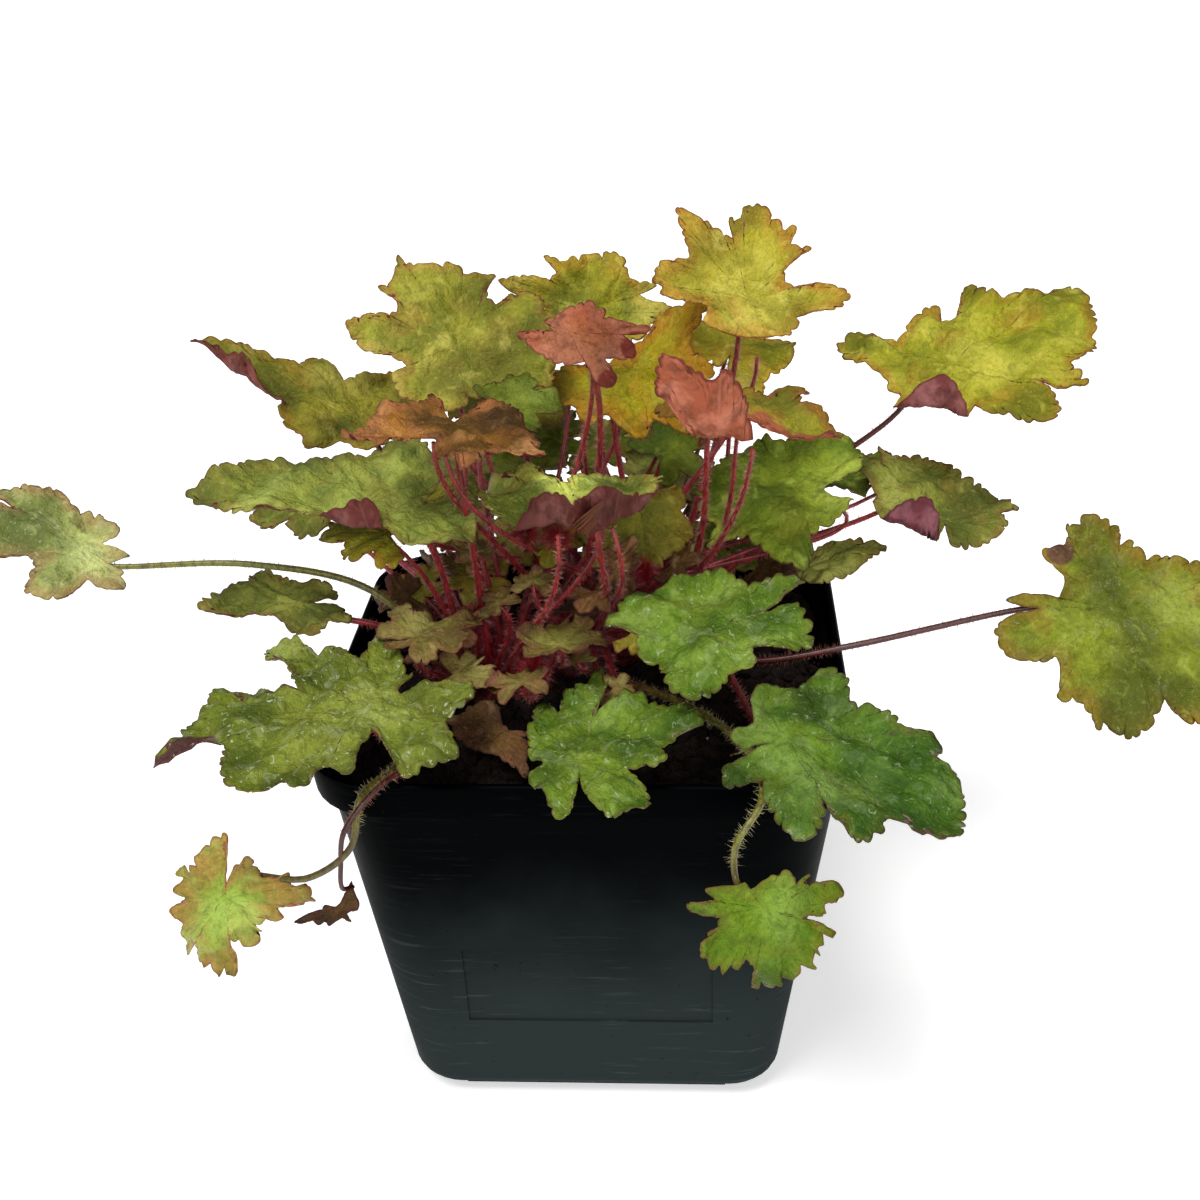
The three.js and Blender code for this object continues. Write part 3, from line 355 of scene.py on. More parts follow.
# leaf_33 to leaf_37: withered leaves
leaf("withered", "left", (-22, -44, 99), (0.6, -0.6, -0.2), (0, -0.4, 0.9), withered(13),
     hub=(-2, 4), shade=((110, 9, 6, 0.6), (-10, 11, 5, 1.3)),
     outline=[(-149, 8), (-127, 8), (-115, 7), (-82, 6), (-38, 7), (-22, 9), (-11, 14), (-6, 16), (0, 14),
              (37, 9), (40, 5), (58, 4), (91, 4), (115, 6), (130, 8), (153, 9), (171, 8), (194, 9),
              (209, 11)])
leaf("withered", "middle", (-4, -3, 114), (0.3, -0.6, 0.2), (0, -0.6, 0.8), withered(11), bow=(1, 3, -3))
leaf("withered", "left", (-45, 7, 110), (-0.8, -0.3, 0), (0, -0.6, 0.8), withered(9), bow=(-4, -1, -5))
leaf("withered", "back", (41, 30, 106), (0.8, -0.3, 0.1), (0, -0.6, 0.8), withered(10))
leaf("withered", "left", (-48, -66, 77), (-1, 0, -0.35), (0, -0.8, 0.6),
     [(-90, 4), (0, 13, 60), (90, 6, -40), (160, 5)], tone=0.55, frill=2,
     via=((-34, -50, 99), (-40, -64, 101), (-47, -70, 94), (-48.5, -70.5, 86)), lean=180, stalk="brown",
     hub=(4, 4),
     outline=[(-133, 2), (-51, 2), (-42, 3), (-23, 4), (-14, 6), (-1, 11), (8, 7), (18, 6), (25, 4),
              (45, 4), (52, 3), (84, 2), (118, 2), (122, 4), (139, 3), (151, 2), (161, 4), (184, 5),
              (204, 5)])

# leaf_38 to leaf_44: leaves at the back
leaf("green", "back", (52, 50, 124), (0.6, 0.8, 0), (0.1, 0.25, 0.96), palmate(27))
leaf("olive", "back", (10, 67, 128), (0.1, 1, -0.1), (0, 0.3, 0.95), palmate(29), bow=(2, 1, 0))
leaf("green", "middle", (-30, 56, 124), (-0.5, 0.85, -0.1), (-0.1, 0.3, 0.95), palmate(28))
leaf("grey_green", "left", (-66, 38, 122), (-0.9, 0.5, 0), (-0.2, 0.1, 0.97), palmate(25))
leaf("olive", "middle", (-20, 48, 146), (-0.3, 0.9, 0.2), (0, 0.05, 1), palmate(24))
leaf("fresh", "back", (30, 84, 104), (0.3, 0.9, -0.4), (0, 0.5, 0.85), palmate(25))
leaf("green", "left", (-47, 68, 104), (-0.4, 0.8, -0.5), (-0.2, 0.5, 0.83), palmate(24), bow=(2, -4, -2))

# tiny crumpled leaves that push up between the stalks: look, head, place, reach
SPROUTS = (
    ("young", "middle", (-12, -12, 123), 7), ("withered", "middle", (3, -14, 121), 10),
    ("young", "left", (-20, -12, 117), 6), ("citrus", "middle", (11, -20, 114), 7),
    ("withered", "left", (-30, -12, 111), 8), ("young", "middle", (-2, -20, 107), 6),
    ("young", "middle", (16, -10, 117), 7), ("withered", "back", (24, -12, 108), 7),
    ("olive", "left", (-18, -26, 103), 6), ("young", "middle", (7, -30, 105), 6),
    ("withered", "left", (-38, -14, 105), 6), ("young", "back", (28, -2, 112), 7),
    ("citrus", "middle", (-8, -5, 129), 7), ("withered", "middle", (7, -10, 125), 9),
    ("withered", "middle", (20, 2, 121), 8), ("young", "left", (-26, -4, 126), 7),
    ("green", "left", (-36, 22, 108), 12), ("grey_green", "left", (-22, 30, 113), 12),
    ("green", "middle", (-9, 36, 110), 12), ("olive", "back", (4, 30, 112), 11),
    ("young", "left", (-30, 10, 117), 9), ("withered", "middle", (-16, 20, 121), 9),
    ("green", "middle", (-3, 24, 124), 11), ("young", "back", (9, 22, 119), 9),
    ("olive", "left", (-42, 10, 109), 10), ("green", "back", (16, 38, 110), 12),
    ("green", "middle", (-10, 48, 135), 15), ("green", "back", (0, 51, 130), 13),
    ("grey_green", "back", (15, 44, 127), 16), ("grey_green", "back", (24, 46, 119), 14),
    ("olive", "left", (-23, 20, 119), 14), ("green", "left", (-31, 28, 122), 15),
    ("olive", "left", (-38, 32, 128), 13), ("green", "middle", (-18, 50, 125), 17),
    ("olive", "left", (-27, 6, 116), 11), ("grey_green", "middle", (-16, 55, 135), 16),
    ("green", "back", (33, 34, 112), 14), ("olive", "middle", (4, 22, 120), 14),
    ("grey_green", "back", (26, 30, 114), 11), ("young", "middle", (-12, 8, 128), 8),
)


def sprouts():
    """The tiny leaves, each turned and crumpled its own way."""
    draw = random.Random(8)
    made = []
    for look, head, at, reach in SPROUTS:
        turn = draw.uniform(0, 2 * math.pi)
        lobes = []
        for step in (-130, -66, 0, 62, 128):
            lobes.append((step, reach * draw.uniform(0.7, 1), draw.uniform(-60, 90)))
        if reach > 12:
            lobes = []
            for step, far in palmate(reach):
                lobes.append((step, far * draw.uniform(0.8, 1.1), draw.uniform(-30, 30)))
        tip = (math.cos(turn), math.sin(turn), draw.uniform(-0.3, 0.5))
        face = (draw.uniform(-0.4, 0.4), -0.5, 0.85)
        own = {"look": look, "head": head, "at": at, "tip": tip, "face": face, "lobes": lobes, "frill": 2.0}
        # The tone factor here is painted light that brightens sprouts in shade, the withered ones most.
        made.append({**PLAIN, **own, "tone": 1.8 if look == "withered" else 1.1})
    return made


# Colours of each look, red, green and blue from 0 to 255: middle of the blade, blade, its mottling, band
# along the rim, the rim's own line, veins and underside. fringe: width of the band in millimetres.
# silver: how much pale bloom, with a few painted glints, lies between the veins. shine: how glossy the blade
# is.
UPPER_TINTS = ("Centre", "Blade", "Mottle", "Band", "Line", "Ribs", "Under")
LOOKS = {
    "olive": {
        "centre": (169, 161, 46), "blade": (140, 135, 29), "mottle": (109, 115, 25), "band": (162, 127, 37),
        "line": (118, 58, 46), "ribs": (183, 169, 60), "under": (114, 56, 48), "fringe": 3,
    },
    "sage": {
        "centre": (185, 198, 81), "blade": (150, 156, 57), "mottle": (113, 130, 51), "band": (167, 152, 66),
        "line": (108, 48, 44), "ribs": (193, 196, 95), "under": (106, 50, 44), "fringe": 3,
    },
    "pale_olive": {
        "centre": (216, 204, 82), "blade": (173, 172, 53), "mottle": (142, 148, 42), "band": (183, 148, 60),
        "line": (146, 58, 60), "ribs": (223, 213, 97), "under": (110, 48, 42), "fringe": 2.5,
    },
    "russet": {
        "centre": (178, 122, 54), "blade": (148, 96, 32), "mottle": (96, 70, 16), "band": (168, 106, 62),
        "line": (104, 38, 38), "ribs": (196, 124, 76), "under": (116, 38, 40), "fringe": 4,
    },
    "rosy": {
        "centre": (168, 98, 54), "blade": (154, 76, 42), "mottle": (104, 34, 22), "band": (186, 108, 80),
        "line": (112, 36, 36), "ribs": (190, 112, 84), "under": (112, 26, 16), "fringe": 3,
    },
    "amber": {
        "centre": (183, 174, 18), "blade": (187, 165, 15), "mottle": (153, 135, 12), "band": (200, 131, 23),
        "line": (120, 48, 40), "ribs": (204, 203, 29), "under": (150, 80, 60), "fringe": 6,
    },
    "gold": {
        "centre": (230, 220, 91), "blade": (210, 197, 56), "mottle": (187, 178, 45), "band": (214, 150, 56),
        "line": (140, 56, 44), "ribs": (233, 218, 93), "under": (112, 60, 46), "fringe": 4,
    },
    "salmon": {
        "centre": (203, 139, 55), "blade": (175, 170, 42), "mottle": (148, 152, 36), "band": (168, 104, 40),
        "line": (112, 46, 42), "ribs": (218, 173, 72), "under": (190, 102, 72), "fringe": 3,
    },
    "citrus": {
        "centre": (215, 207, 59), "blade": (184, 183, 36), "mottle": (156, 162, 33), "band": (189, 135, 41),
        "line": (116, 54, 46), "ribs": (220, 211, 71), "under": (126, 66, 62), "fringe": 3,
    },
    "green": {
        "centre": (181, 200, 57), "blade": (137, 161, 36), "mottle": (103, 134, 30), "band": (147, 150, 43),
        "line": (94, 48, 42), "ribs": (181, 194, 69), "under": (122, 104, 78), "fringe": 2,
    },
    "grey_green": {
        "centre": (184, 189, 78), "blade": (146, 158, 56), "mottle": (118, 132, 47), "band": (156, 129, 56),
        "line": (98, 48, 46), "ribs": (189, 191, 89), "under": (118, 58, 66), "fringe": 3,
    },
    "young": {
        "centre": (172, 168, 76), "blade": (146, 142, 54), "mottle": (116, 96, 44), "band": (150, 112, 66),
        "line": (110, 56, 48), "ribs": (176, 164, 84), "under": (136, 76, 64), "fringe": 3,
    },
    "pale_green": {
        "centre": (216, 225, 132), "blade": (170, 180, 92), "mottle": (137, 152, 74), "band": (189, 144, 96),
        "line": (108, 58, 50), "ribs": (221, 225, 146), "under": (120, 86, 70),
        "fringe": 4, "silver": 0.25,
    },
    "tan_olive": {
        "centre": (166, 180, 47), "blade": (143, 155, 36), "mottle": (118, 130, 33), "band": (158, 125, 36),
        "line": (108, 54, 40), "ribs": (168, 180, 56), "under": (124, 84, 66), "fringe": 5, "silver": 0.1,
    },
    "silver_green": {
        "centre": (166, 178, 66), "blade": (133, 149, 37), "mottle": (105, 127, 31), "band": (125, 130, 40),
        "line": (100, 54, 44), "ribs": (167, 178, 73), "under": (104, 52, 62), "fringe": 2, "silver": 0.4,
    },
    "fresh": {
        "centre": (147, 176, 51), "blade": (107, 143, 30), "mottle": (82, 122, 23), "band": (130, 148, 41),
        "line": (104, 62, 44), "ribs": (147, 172, 60), "under": (126, 110, 84),
        "fringe": 1.5, "silver": 0.25,
    },
    "deep": {
        "centre": (121, 155, 39), "blade": (78, 120, 23), "mottle": (58, 97, 18), "band": (101, 115, 28),
        "line": (88, 40, 38), "ribs": (117, 148, 41), "under": (110, 80, 76), "fringe": 2, "silver": 0.16,
    },
    "bright": {
        "centre": (131, 162, 25), "blade": (108, 147, 15), "mottle": (89, 129, 12), "band": (122, 131, 21),
        "line": (138, 84, 48), "ribs": (135, 162, 33), "under": (132, 128, 70), "fringe": 3,
    },
    "sunlit": {
        "centre": (166, 196, 72), "blade": (172, 188, 68), "mottle": (150, 166, 54), "band": (196, 140, 72),
        "line": (150, 80, 58), "ribs": (183, 215, 86), "under": (170, 120, 84), "fringe": 8,
    },
    "withered": {
        "centre": (150, 114, 58), "blade": (126, 90, 46), "mottle": (84, 58, 30), "band": (130, 84, 60),
        "line": (70, 40, 32), "ribs": (156, 116, 76), "under": (116, 72, 62), "fringe": 2, "shine": 0.2,
    },
}


# ---------------------------------------------------------------- helpers


def chance(seed, purpose):
    """A repeatable number between 0 and 1."""
    v = math.sin(seed * 12.9898 + purpose * 78.233) * 43758.5453
    return v - math.floor(v)


def clamp(value, low, high):
    """The value, or the nearer end where it lies outside."""
    return max(low, min(high, value))


def ease(low, high, value):
    """Runs smoothly from 0 at low to 1 at high."""
    t = np.clip((value - low) / (high - low), 0, 1)
    return t * t * (3 - 2 * t)


def piece(name, mesh, finishes, slot, *nodes):
    """Adds a mesh, worked out in millimetres, to the plant."""
    mesh.transform(Matrix.Scale(MM, 4))
    for finish in finishes:
        mesh.materials.append(finish)
    obj = bpy.data.objects.new(name, mesh)
    bpy.context.scene.collection.objects.link(obj)
    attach(obj, "root")
    if nodes:
        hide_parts(*nodes)
    return obj


def to_mesh(bm, name, smooth=True):
    """Turns a finished bmesh into a mesh."""
    mesh = bpy.data.meshes.new(name)
    bm.to_mesh(mesh)
    bm.free()
    mesh.polygons.foreach_set("use_smooth", [smooth] * len(mesh.polygons))
    return mesh


def scattered(name, prototype, places, smooth=False):
    """One mesh of many copies of a small mesh; places holds a 3x4 matrix for each."""
    points = np.array([(*v.co, 1.0) for v in prototype.vertices])
    sides = np.array([len(p.vertices) for p in prototype.polygons])
    corners = np.concatenate([np.array(p.vertices) for p in prototype.polygons])
    count = len(places)
    spread = np.einsum("nij,pj->npi", np.asarray(places), points).reshape(-1, 3)
    mesh = bpy.data.meshes.new(name)
    mesh.vertices.add(len(spread))
    mesh.vertices.foreach_set("co", spread.ravel())
    loops = (corners[None, :] + len(points) * np.arange(count)[:, None]).ravel()
    mesh.loops.add(len(loops))
    mesh.loops.foreach_set("vertex_index", loops)
    mesh.polygons.add(len(sides) * count)
    starts = np.cumsum(np.tile(sides, count)) - np.tile(sides, count)
    mesh.polygons.foreach_set("loop_start", starts)
    mesh.polygons.foreach_set("use_smooth", [smooth] * (len(sides) * count))
    mesh.update(calc_edges=True)
    return mesh


def prototype(make, **settings):
    """A small mesh made by one of the create operators."""
    bm = bmesh.new()
    make(bm, **settings)
    return to_mesh(bm, "prototype")


def hair_shape():
    """A thin spike that stands on its root."""
    spike = prototype(bmesh.ops.create_cone, cap_ends=True, segments=3, radius1=1, radius2=0, depth=1)
    spike.transform(Matrix.Translation((0, 0, 0.5)))
    return spike


def either_way(draw, most):
    """A random step of no more than most along each axis."""
    return Vector([draw.uniform(-most, most) for _ in "xyz"])


def placing(origin, aim, width, length, spin=0.0):
    """3x4 matrix that puts +Z along aim, scaled to a width and a length."""
    z = Vector(aim).normalized()
    turned = z.to_track_quat("Z", "Y").to_matrix() @ Matrix.Rotation(spin, 3, "Z")
    turned = turned @ Matrix.Diagonal((width, width, length))
    return [[*turned[row], origin[row]] for row in range(3)]


# ---------------------------------------------------------------- material tools


def paint(red, green, blue):
    """Colour as it looks in the studio light, from 0 to 255, as the linear colour that a socket takes."""
    line = [v / 255 for v in (red, green, blue)]
    return (*[BRIGHTNESS * (v / 12.92 if v <= 0.04045 else ((v + 0.055) / 1.055) ** 2.4) for v in line], 1)


def node(tree, kind, inputs=None, **settings):
    """Adds a shader node. An input is a plain value or the socket that feeds it."""
    made = tree.nodes.new("ShaderNode" + kind)
    for name, value in settings.items():
        setattr(made, name, value)
    for key, value in (inputs or {}).items():
        if isinstance(value, bpy.types.NodeSocket):
            tree.links.new(value, made.inputs[key])
        else:
            made.inputs[key].default_value = value
    return made


def mixed(tree, factor, first, second):
    """The first colour, turning into the second as the factor rises."""
    return node(tree, "Mix", {0: factor, 6: first, 7: second}, data_type="RGBA").outputs[2]


def eased(tree, value, low, high, start=0.0, end=1.0):
    """Runs smoothly from start to end while the value runs from low to high."""
    ends = {"Value": value, "From Min": low, "From Max": high, "To Min": start, "To Max": end}
    return node(tree, "MapRange", ends, interpolation_type="SMOOTHSTEP").outputs["Result"]


def calc(tree, operation, *values):
    """A sum on single numbers."""
    return node(tree, "Math", dict(enumerate(values)), operation=operation).outputs[0]


def product(tree, first, second):
    return calc(tree, "MULTIPLY", first, second)


def total(tree, first, second):
    return calc(tree, "ADD", first, second)


def noise(tree, vector, scale, detail=3.0, roughness=0.55, warp=0.0):
    ends = {"Vector": vector, "Scale": scale, "Detail": detail, "Roughness": roughness, "Distortion": warp}
    return node(tree, "TexNoise", ends).outputs["Fac"]


def moved(tree, vector, place):
    """The same places further on, so that two noises differ."""
    return node(tree, "Mapping", {"Vector": vector, "Location": place}).outputs[0]


def scaled(tree, colour, factor):
    """The colour, paler or darker by a factor."""
    return node(tree, "VectorMath", {0: colour, "Scale": factor}, operation="SCALE").outputs[0]


def attribute(tree, name, kind="Fac"):
    """What a mesh says of each place under this name."""
    return node(tree, "Attribute", attribute_name=name).outputs[kind]


def place_of(tree, **settings):
    """Object coordinates in millimetres."""
    spot = node(tree, "TexCoord").outputs["Object"]
    return node(tree, "Mapping", {"Vector": spot, "Scale": (1000, 1000, 1000), **settings}).outputs[0]


def finish_of(name):
    """A new material: its tree and its Principled shader."""
    material = bpy.data.materials.new(name)
    material.use_nodes = True
    return material, material.node_tree, material.node_tree.nodes["Principled BSDF"]


def feed(tree, shader, **sockets):
    """Sets the shader's sockets, with _ for a space in a name."""
    for name, value in sockets.items():
        socket = shader.inputs[name.replace("_", " ")]
        if isinstance(value, bpy.types.NodeSocket):
            tree.links.new(value, socket)
        else:
            socket.default_value = value


def bumped(tree, height, distance, strength=1.0):
    """A normal bent by a height, whose full rise is a distance in millimetres."""
    ends = {"Height": height, "Distance": distance * MM, "Strength": strength}
    return node(tree, "Bump", ends).outputs["Normal"]


def node_group(name, inputs, outputs):
    """An empty shader node group with its named sockets, and its two end nodes."""
    group = bpy.data.node_groups.new(name, "ShaderNodeTree")
    for label, kind in inputs.items():
        group.interface.new_socket(label, in_out="INPUT", socket_type="NodeSocket" + kind)
    for label, kind in outputs.items():
        group.interface.new_socket(label, in_out="OUTPUT", socket_type="NodeSocket" + kind)
    return group, group.nodes.new("NodeGroupInput").outputs, group.nodes.new("NodeGroupOutput").inputs


def placed_group(tree, group, **inputs):
    """Uses a node group and gives back its outputs."""
    made = tree.nodes.new("ShaderNodeGroup")
    made.node_tree = group
    for name, value in inputs.items():
        if isinstance(value, bpy.types.NodeSocket):
            tree.links.new(value, made.inputs[name])
        else:
            made.inputs[name].default_value = value
    return made.outputs


# ---------------------------------------------------------------- leaf finishes


def small_push(tree, vector):
    """A small push aside, different from place to place, in millimetres."""
    ends = {"Vector": vector, "Scale": 0.5, "Detail": 2.0}
    push = node(tree, "TexNoise", ends).outputs["Color"]
    return node(tree, "VectorMath", {0: push, 1: (1.6, 1.6, 0.0)}, operation="MULTIPLY").outputs[0]


def vein_group():
    """Midrib, slanting side veins and the fine net between them, from a blade's own measures."""
    inputs = {"Across": "Float", "Along": "Float", "Flat": "Vector"}
    outputs = {"Vein": "Float", "Net": "Float", "Height": "Float"}
    tree, given, out = node_group("leaf veins", inputs, outputs)
    across, along, flat = given["Across"], given["Along"], given["Flat"]

    rib_width = calc(tree, "SUBTRACT", 0.62, product(tree, along, 0.009))
    rib = calc(tree, "SUBTRACT", 1.0, eased(tree, calc(tree, "DIVIDE", across, rib_width), 0.35, 1.0))

    wander = product(tree, noise(tree, flat, 0.11, 2), 0.9)
    slant = calc(tree, "SUBTRACT", along, product(tree, across, VEIN_SLANT))
    step = total(tree, calc(tree, "DIVIDE", slant, VEIN_PITCH), wander)
    away = product(tree, calc(tree, "PINGPONG", step, 0.5), VEIN_PITCH)
    side = calc(tree, "SUBTRACT", 1.0, eased(tree, away, 0.1, 0.5))
    side = product(tree, side, eased(tree, along, 1.0, 5.0, 0.25, 1.0))

    bent = node(tree, "VectorMath", {0: flat, 1: small_push(tree, flat)}, operation="ADD").outputs[0]
    ends = {"Vector": bent, "Scale": 0.7, "Randomness": 1.0}
    cells = node(tree, "TexVoronoi", ends, feature="DISTANCE_TO_EDGE").outputs["Distance"]
    net = calc(tree, "SUBTRACT", 1.0, eased(tree, cells, 0.0, 0.12))

    vein = calc(tree, "MAXIMUM", rib, product(tree, side, 0.6))
    deep = calc(tree, "MAXIMUM", product(tree, vein, 0.3), product(tree, net, 0.15))
    quilt = eased(tree, away, 0.0, VEIN_PITCH * 0.5)
    lumps = product(tree, noise(tree, flat, 0.45, 2), 2.2)
    grain = total(tree, product(tree, noise(tree, flat, 1.5, 3, 0.65), 1.6), lumps)
    height = total(tree, calc(tree, "SUBTRACT", product(tree, quilt, 0.35), deep), grain)
    tree.links.new(vein, out["Vein"])
    tree.links.new(net, out["Net"])
    tree.links.new(height, out["Height"])
    return tree


def upper_group():
    """Colour of an upper side: paler towards the middle, with blotches, a band along the rim and veins."""
    inputs = dict.fromkeys(("Out", "Rim", "Curled", "Tone", "Vein", "Net", "Fringe"), "Float")
    inputs.update(dict.fromkeys(UPPER_TINTS + ("Dark", "Light", "Deep"), "Color"))
    outputs = {"Colour": "Color", "Dull": "Float"}
    tree, given, out = node_group("leaf upper side", {"Flat": "Vector", **inputs}, outputs)
    flat, rim = given["Flat"], given["Rim"]
    patches = noise(tree, flat, 0.06, 1.5, 0.5, 0.6)
    blots = noise(tree, moved(tree, flat, (31, 17, 5)), 0.09, 2, 0.5)
    cloud = noise(tree, moved(tree, flat, (-9, 23, 11)), 0.055, 1, 0.5)
    dapple = noise(tree, flat, 0.19, 2, 0.5, 0.8)
    fine = noise(tree, flat, 0.9, 4, 0.7)
    colour = mixed(tree, eased(tree, given["Out"], 0.05, 0.7), given["Centre"], given["Blade"])
    colour = mixed(tree, eased(tree, patches, 0.42, 0.66, 0.0, 0.85), colour, given["Mottle"])
    colour = mixed(tree, eased(tree, blots, 0.5, 0.68, 0.0, 0.6), colour, given["Band"])
    reach = total(tree, rim, product(tree, calc(tree, "SUBTRACT", blots, 0.5), 8.0))
    colour = mixed(tree, eased(tree, reach, 0.2, given["Fringe"], 0.85, 0.0), colour, given["Band"])
    colour = mixed(tree, product(tree, given["Vein"], 0.2), colour, given["Ribs"])
    colour = mixed(tree, product(tree, given["Net"], 0.1), colour, given["Dark"])
    # Darker and paler patches: partly the leaf's own mottling, partly painted shade and painted light.
    for pattern, dark_from, darkest_at, darkest, light_from, lightest in (
        (cloud, 0.47, 0.68, 0.75, 0.47, 0.6),
        (dapple, 0.5, 0.72, 0.45, 0.45, 0.4),
        (fine, 0.45, 0.7, 0.42, 0.45, 0.3),
    ):
        dark = eased(tree, pattern, dark_from, darkest_at, 0.0, darkest)
        light = eased(tree, pattern, light_from, 0.25, 0.0, lightest)
        colour = mixed(tree, light, mixed(tree, dark, colour, given["Dark"]), given["Light"])

    turned = mixed(tree, eased(tree, dapple, 0.42, 0.66, 0.0, 0.7), given["Under"], given["Deep"])
    turned = mixed(tree, eased(tree, fine, 0.45, 0.25, 0.0, 0.35), turned, given["Band"])
    colour = mixed(tree, eased(tree, given["Curled"], 0.15, 0.8, 0.0, 0.92), colour, turned)
    # The tone factor: partly the blade's own tone, partly painted light on blades in shadow.
    colour = scaled(tree, colour, given["Tone"])
    edge = total(tree, product(tree, eased(tree, rim, 0.1, 0.5), -0.6), 0.6)
    edge = product(tree, edge, eased(tree, blots, 0.4, 0.55, 0.35, 1.0))
    tree.links.new(mixed(tree, edge, colour, given["Line"]), out["Colour"])
    tree.links.new(eased(tree, noise(tree, flat, 0.25, 3), 0.3, 0.7), out["Dull"])
    return tree


def silver_group():
    """Pale bloom in soft patches with brighter brinks, and a few fine glints that are painted highlights."""
    inputs = {"Colour": "Color", "Flat": "Vector", "Silver": "Float"}
    tree, given, out = node_group("silver bloom", inputs, {"Colour": "Color"})
    flat, silver = given["Flat"], given["Silver"]
    blobs = eased(tree, noise(tree, flat, 0.24, 1.5, 0.5, 0.4), 0.58, 0.66)
    brink = product(tree, product(tree, blobs, calc(tree, "SUBTRACT", 1.0, blobs)), 4.0)
    brink = product(tree, brink, eased(tree, noise(tree, flat, 0.5, 2), 0.45, 0.6))
    bloom = total(tree, product(tree, blobs, 0.35), product(tree, brink, 0.6))
    # Fine glints: painted highlights that stand in for light glancing off a wet blade.
    painted_glint = eased(tree, noise(tree, flat, 0.8, 1, 0.5, 1.2), 0.67, 0.72)
    bloom = product(tree, calc(tree, "MAXIMUM", bloom, product(tree, painted_glint, 2.2)), silver)
    tree.links.new(mixed(tree, bloom, given["Colour"], paint(206, 218, 176)), out["Colour"])
    return tree


def lower_group():
    """Colour of an underside, with paler veins and a darker rim."""
    inputs = {"Flat": "Vector", "Rim": "Float", "Vein": "Float"}
    inputs.update(dict.fromkeys(("Under", "Pale", "Deep", "Line"), "Color"))
    tree, given, out = node_group("leaf underside", inputs, {"Colour": "Color"})
    patches, blots = noise(tree, given["Flat"], 0.16, 3), noise(tree, given["Flat"], 0.24, 3, 0.6)
    colour = mixed(tree, eased(tree, patches, 0.42, 0.66, 0.0, 0.8), given["Under"], given["Pale"])
    colour = mixed(tree, eased(tree, blots, 0.46, 0.68, 0.0, 0.55), colour, given["Deep"])
    colour = mixed(tree, product(tree, given["Vein"], 0.25), colour, given["Pale"])
    colour = mixed(tree, eased(tree, given["Rim"], 0.15, 0.8, 0.8, 0.0), colour, given["Line"])
    tree.links.new(colour, out["Colour"])
    return tree


VEINS, UPPER, SILVER, LOWER = vein_group(), upper_group(), silver_group(), lower_group()


def blade_measures(tree):
    """What a blade's mesh says of each place, and the veins there."""
    flat = attribute(tree, "flat", "Vector")
    across, along = attribute(tree, "across"), attribute(tree, "along")
    veins = placed_group(tree, VEINS, Flat=flat, Across=across, Along=along)
    return flat, attribute(tree, "rim"), veins


def upper_finish(name, look):
    """The upper side of a blade."""
    material, tree, shader = finish_of(name)
    flat, rim, veins = blade_measures(tree)
    tints = {label: paint(*look[label.lower()]) for label in UPPER_TINTS}
    # Darker and paler copies of the tints, for patches of mottling, painted shade and painted light.
    dark = (*[v * 0.5 for v in tints["Mottle"][:3]], 1)
    light = (*[min(1.0, v * 1.3 + 0.05) for v in tints["Centre"][:3]], 1)
    deep = (*[v * 0.4 for v in tints["Under"][:3]], 1)
    given = {label: attribute(tree, label.lower()) for label in ("Out", "Curled", "Tone")}
    given.update(Vein=veins["Vein"], Net=veins["Net"], Fringe=look["fringe"])
    given.update(Dark=dark, Light=light, Deep=deep)
    upper = placed_group(tree, UPPER, Flat=flat, Rim=rim, **given, **tints)
    colour = upper["Colour"]
    if "silver" in look:
        colour = placed_group(tree, SILVER, Colour=colour, Flat=flat, Silver=look["silver"])["Colour"]
    shine = look.get("shine", 0.4)
    roughness = total(tree, product(tree, upper["Dull"], 0.16), 0.52 - 0.2 * shine)
    feed(tree, shader, Base_Color=colour, Roughness=roughness, Specular_IOR_Level=0.08 + 0.3 * shine)
    feed(tree, shader, Normal=bumped(tree, veins["Height"], 0.4, 0.9))
    return material


def lower_finish(name, look):
    """The underside of a blade, with its veins standing out."""
    material, tree, shader = finish_of(name)
    flat, rim, veins = blade_measures(tree)
    pale = paint(*[min(255, v + 46) for v in look["under"]])
    deep = paint(*[v * 0.5 for v in look["under"]])
    tints = {"Under": paint(*look["under"]), "Pale": pale, "Deep": deep, "Line": paint(*look["line"])}
    colour = placed_group(tree, LOWER, Flat=flat, Rim=rim, Vein=veins["Vein"], **tints)["Colour"]
    feed(tree, shader, Base_Color=colour, Roughness=0.65, Specular_IOR_Level=0.12)
    feed(tree, shader, Normal=bumped(tree, product(tree, veins["Height"], -1.0), 0.3, 0.7))
    return material


def leaf_finishes():
    """Upper and lower finish of every look."""
    made = {}
    for name, look in LOOKS.items():
        plain = name.replace("_", " ")
        made[name] = (upper_finish(f"leaf {plain}", look), lower_finish(f"leaf {plain} underside", look))
    return made


# ---------------------------------------------------------------- leaf blades


def longest(leaf):
    """Reach of the longest lobe."""
    return max(reach for _, reach, _ in leaf["lobes"])


def lobe_sides(leaf, k):
    """What lies on either side of a lobe: half the way to the next one, and the gap's reach."""
    lobes = leaf["lobes"]
    at, reach, _ = lobes[k]
    rear = 360 - (lobes[-1][0] - lobes[0][0])
    sides = []
    for beside in (k - 1, k + 1):
        if not 0 <= beside < len(lobes):
            sides.append((min(26, rear / 2 - 4), NOTCH * 2.4 * longest(leaf)))
            continue
        half = abs(lobes[beside][0] - at) / 2
        cut = clamp(leaf["cut"] * half / 22, 0.1, 0.62)
        between = 0.7 * min(reach, lobes[beside][1]) + 0.3 * max(reach, lobes[beside][1])
        sides.append((half, (1 - cut) * between))
    return sides


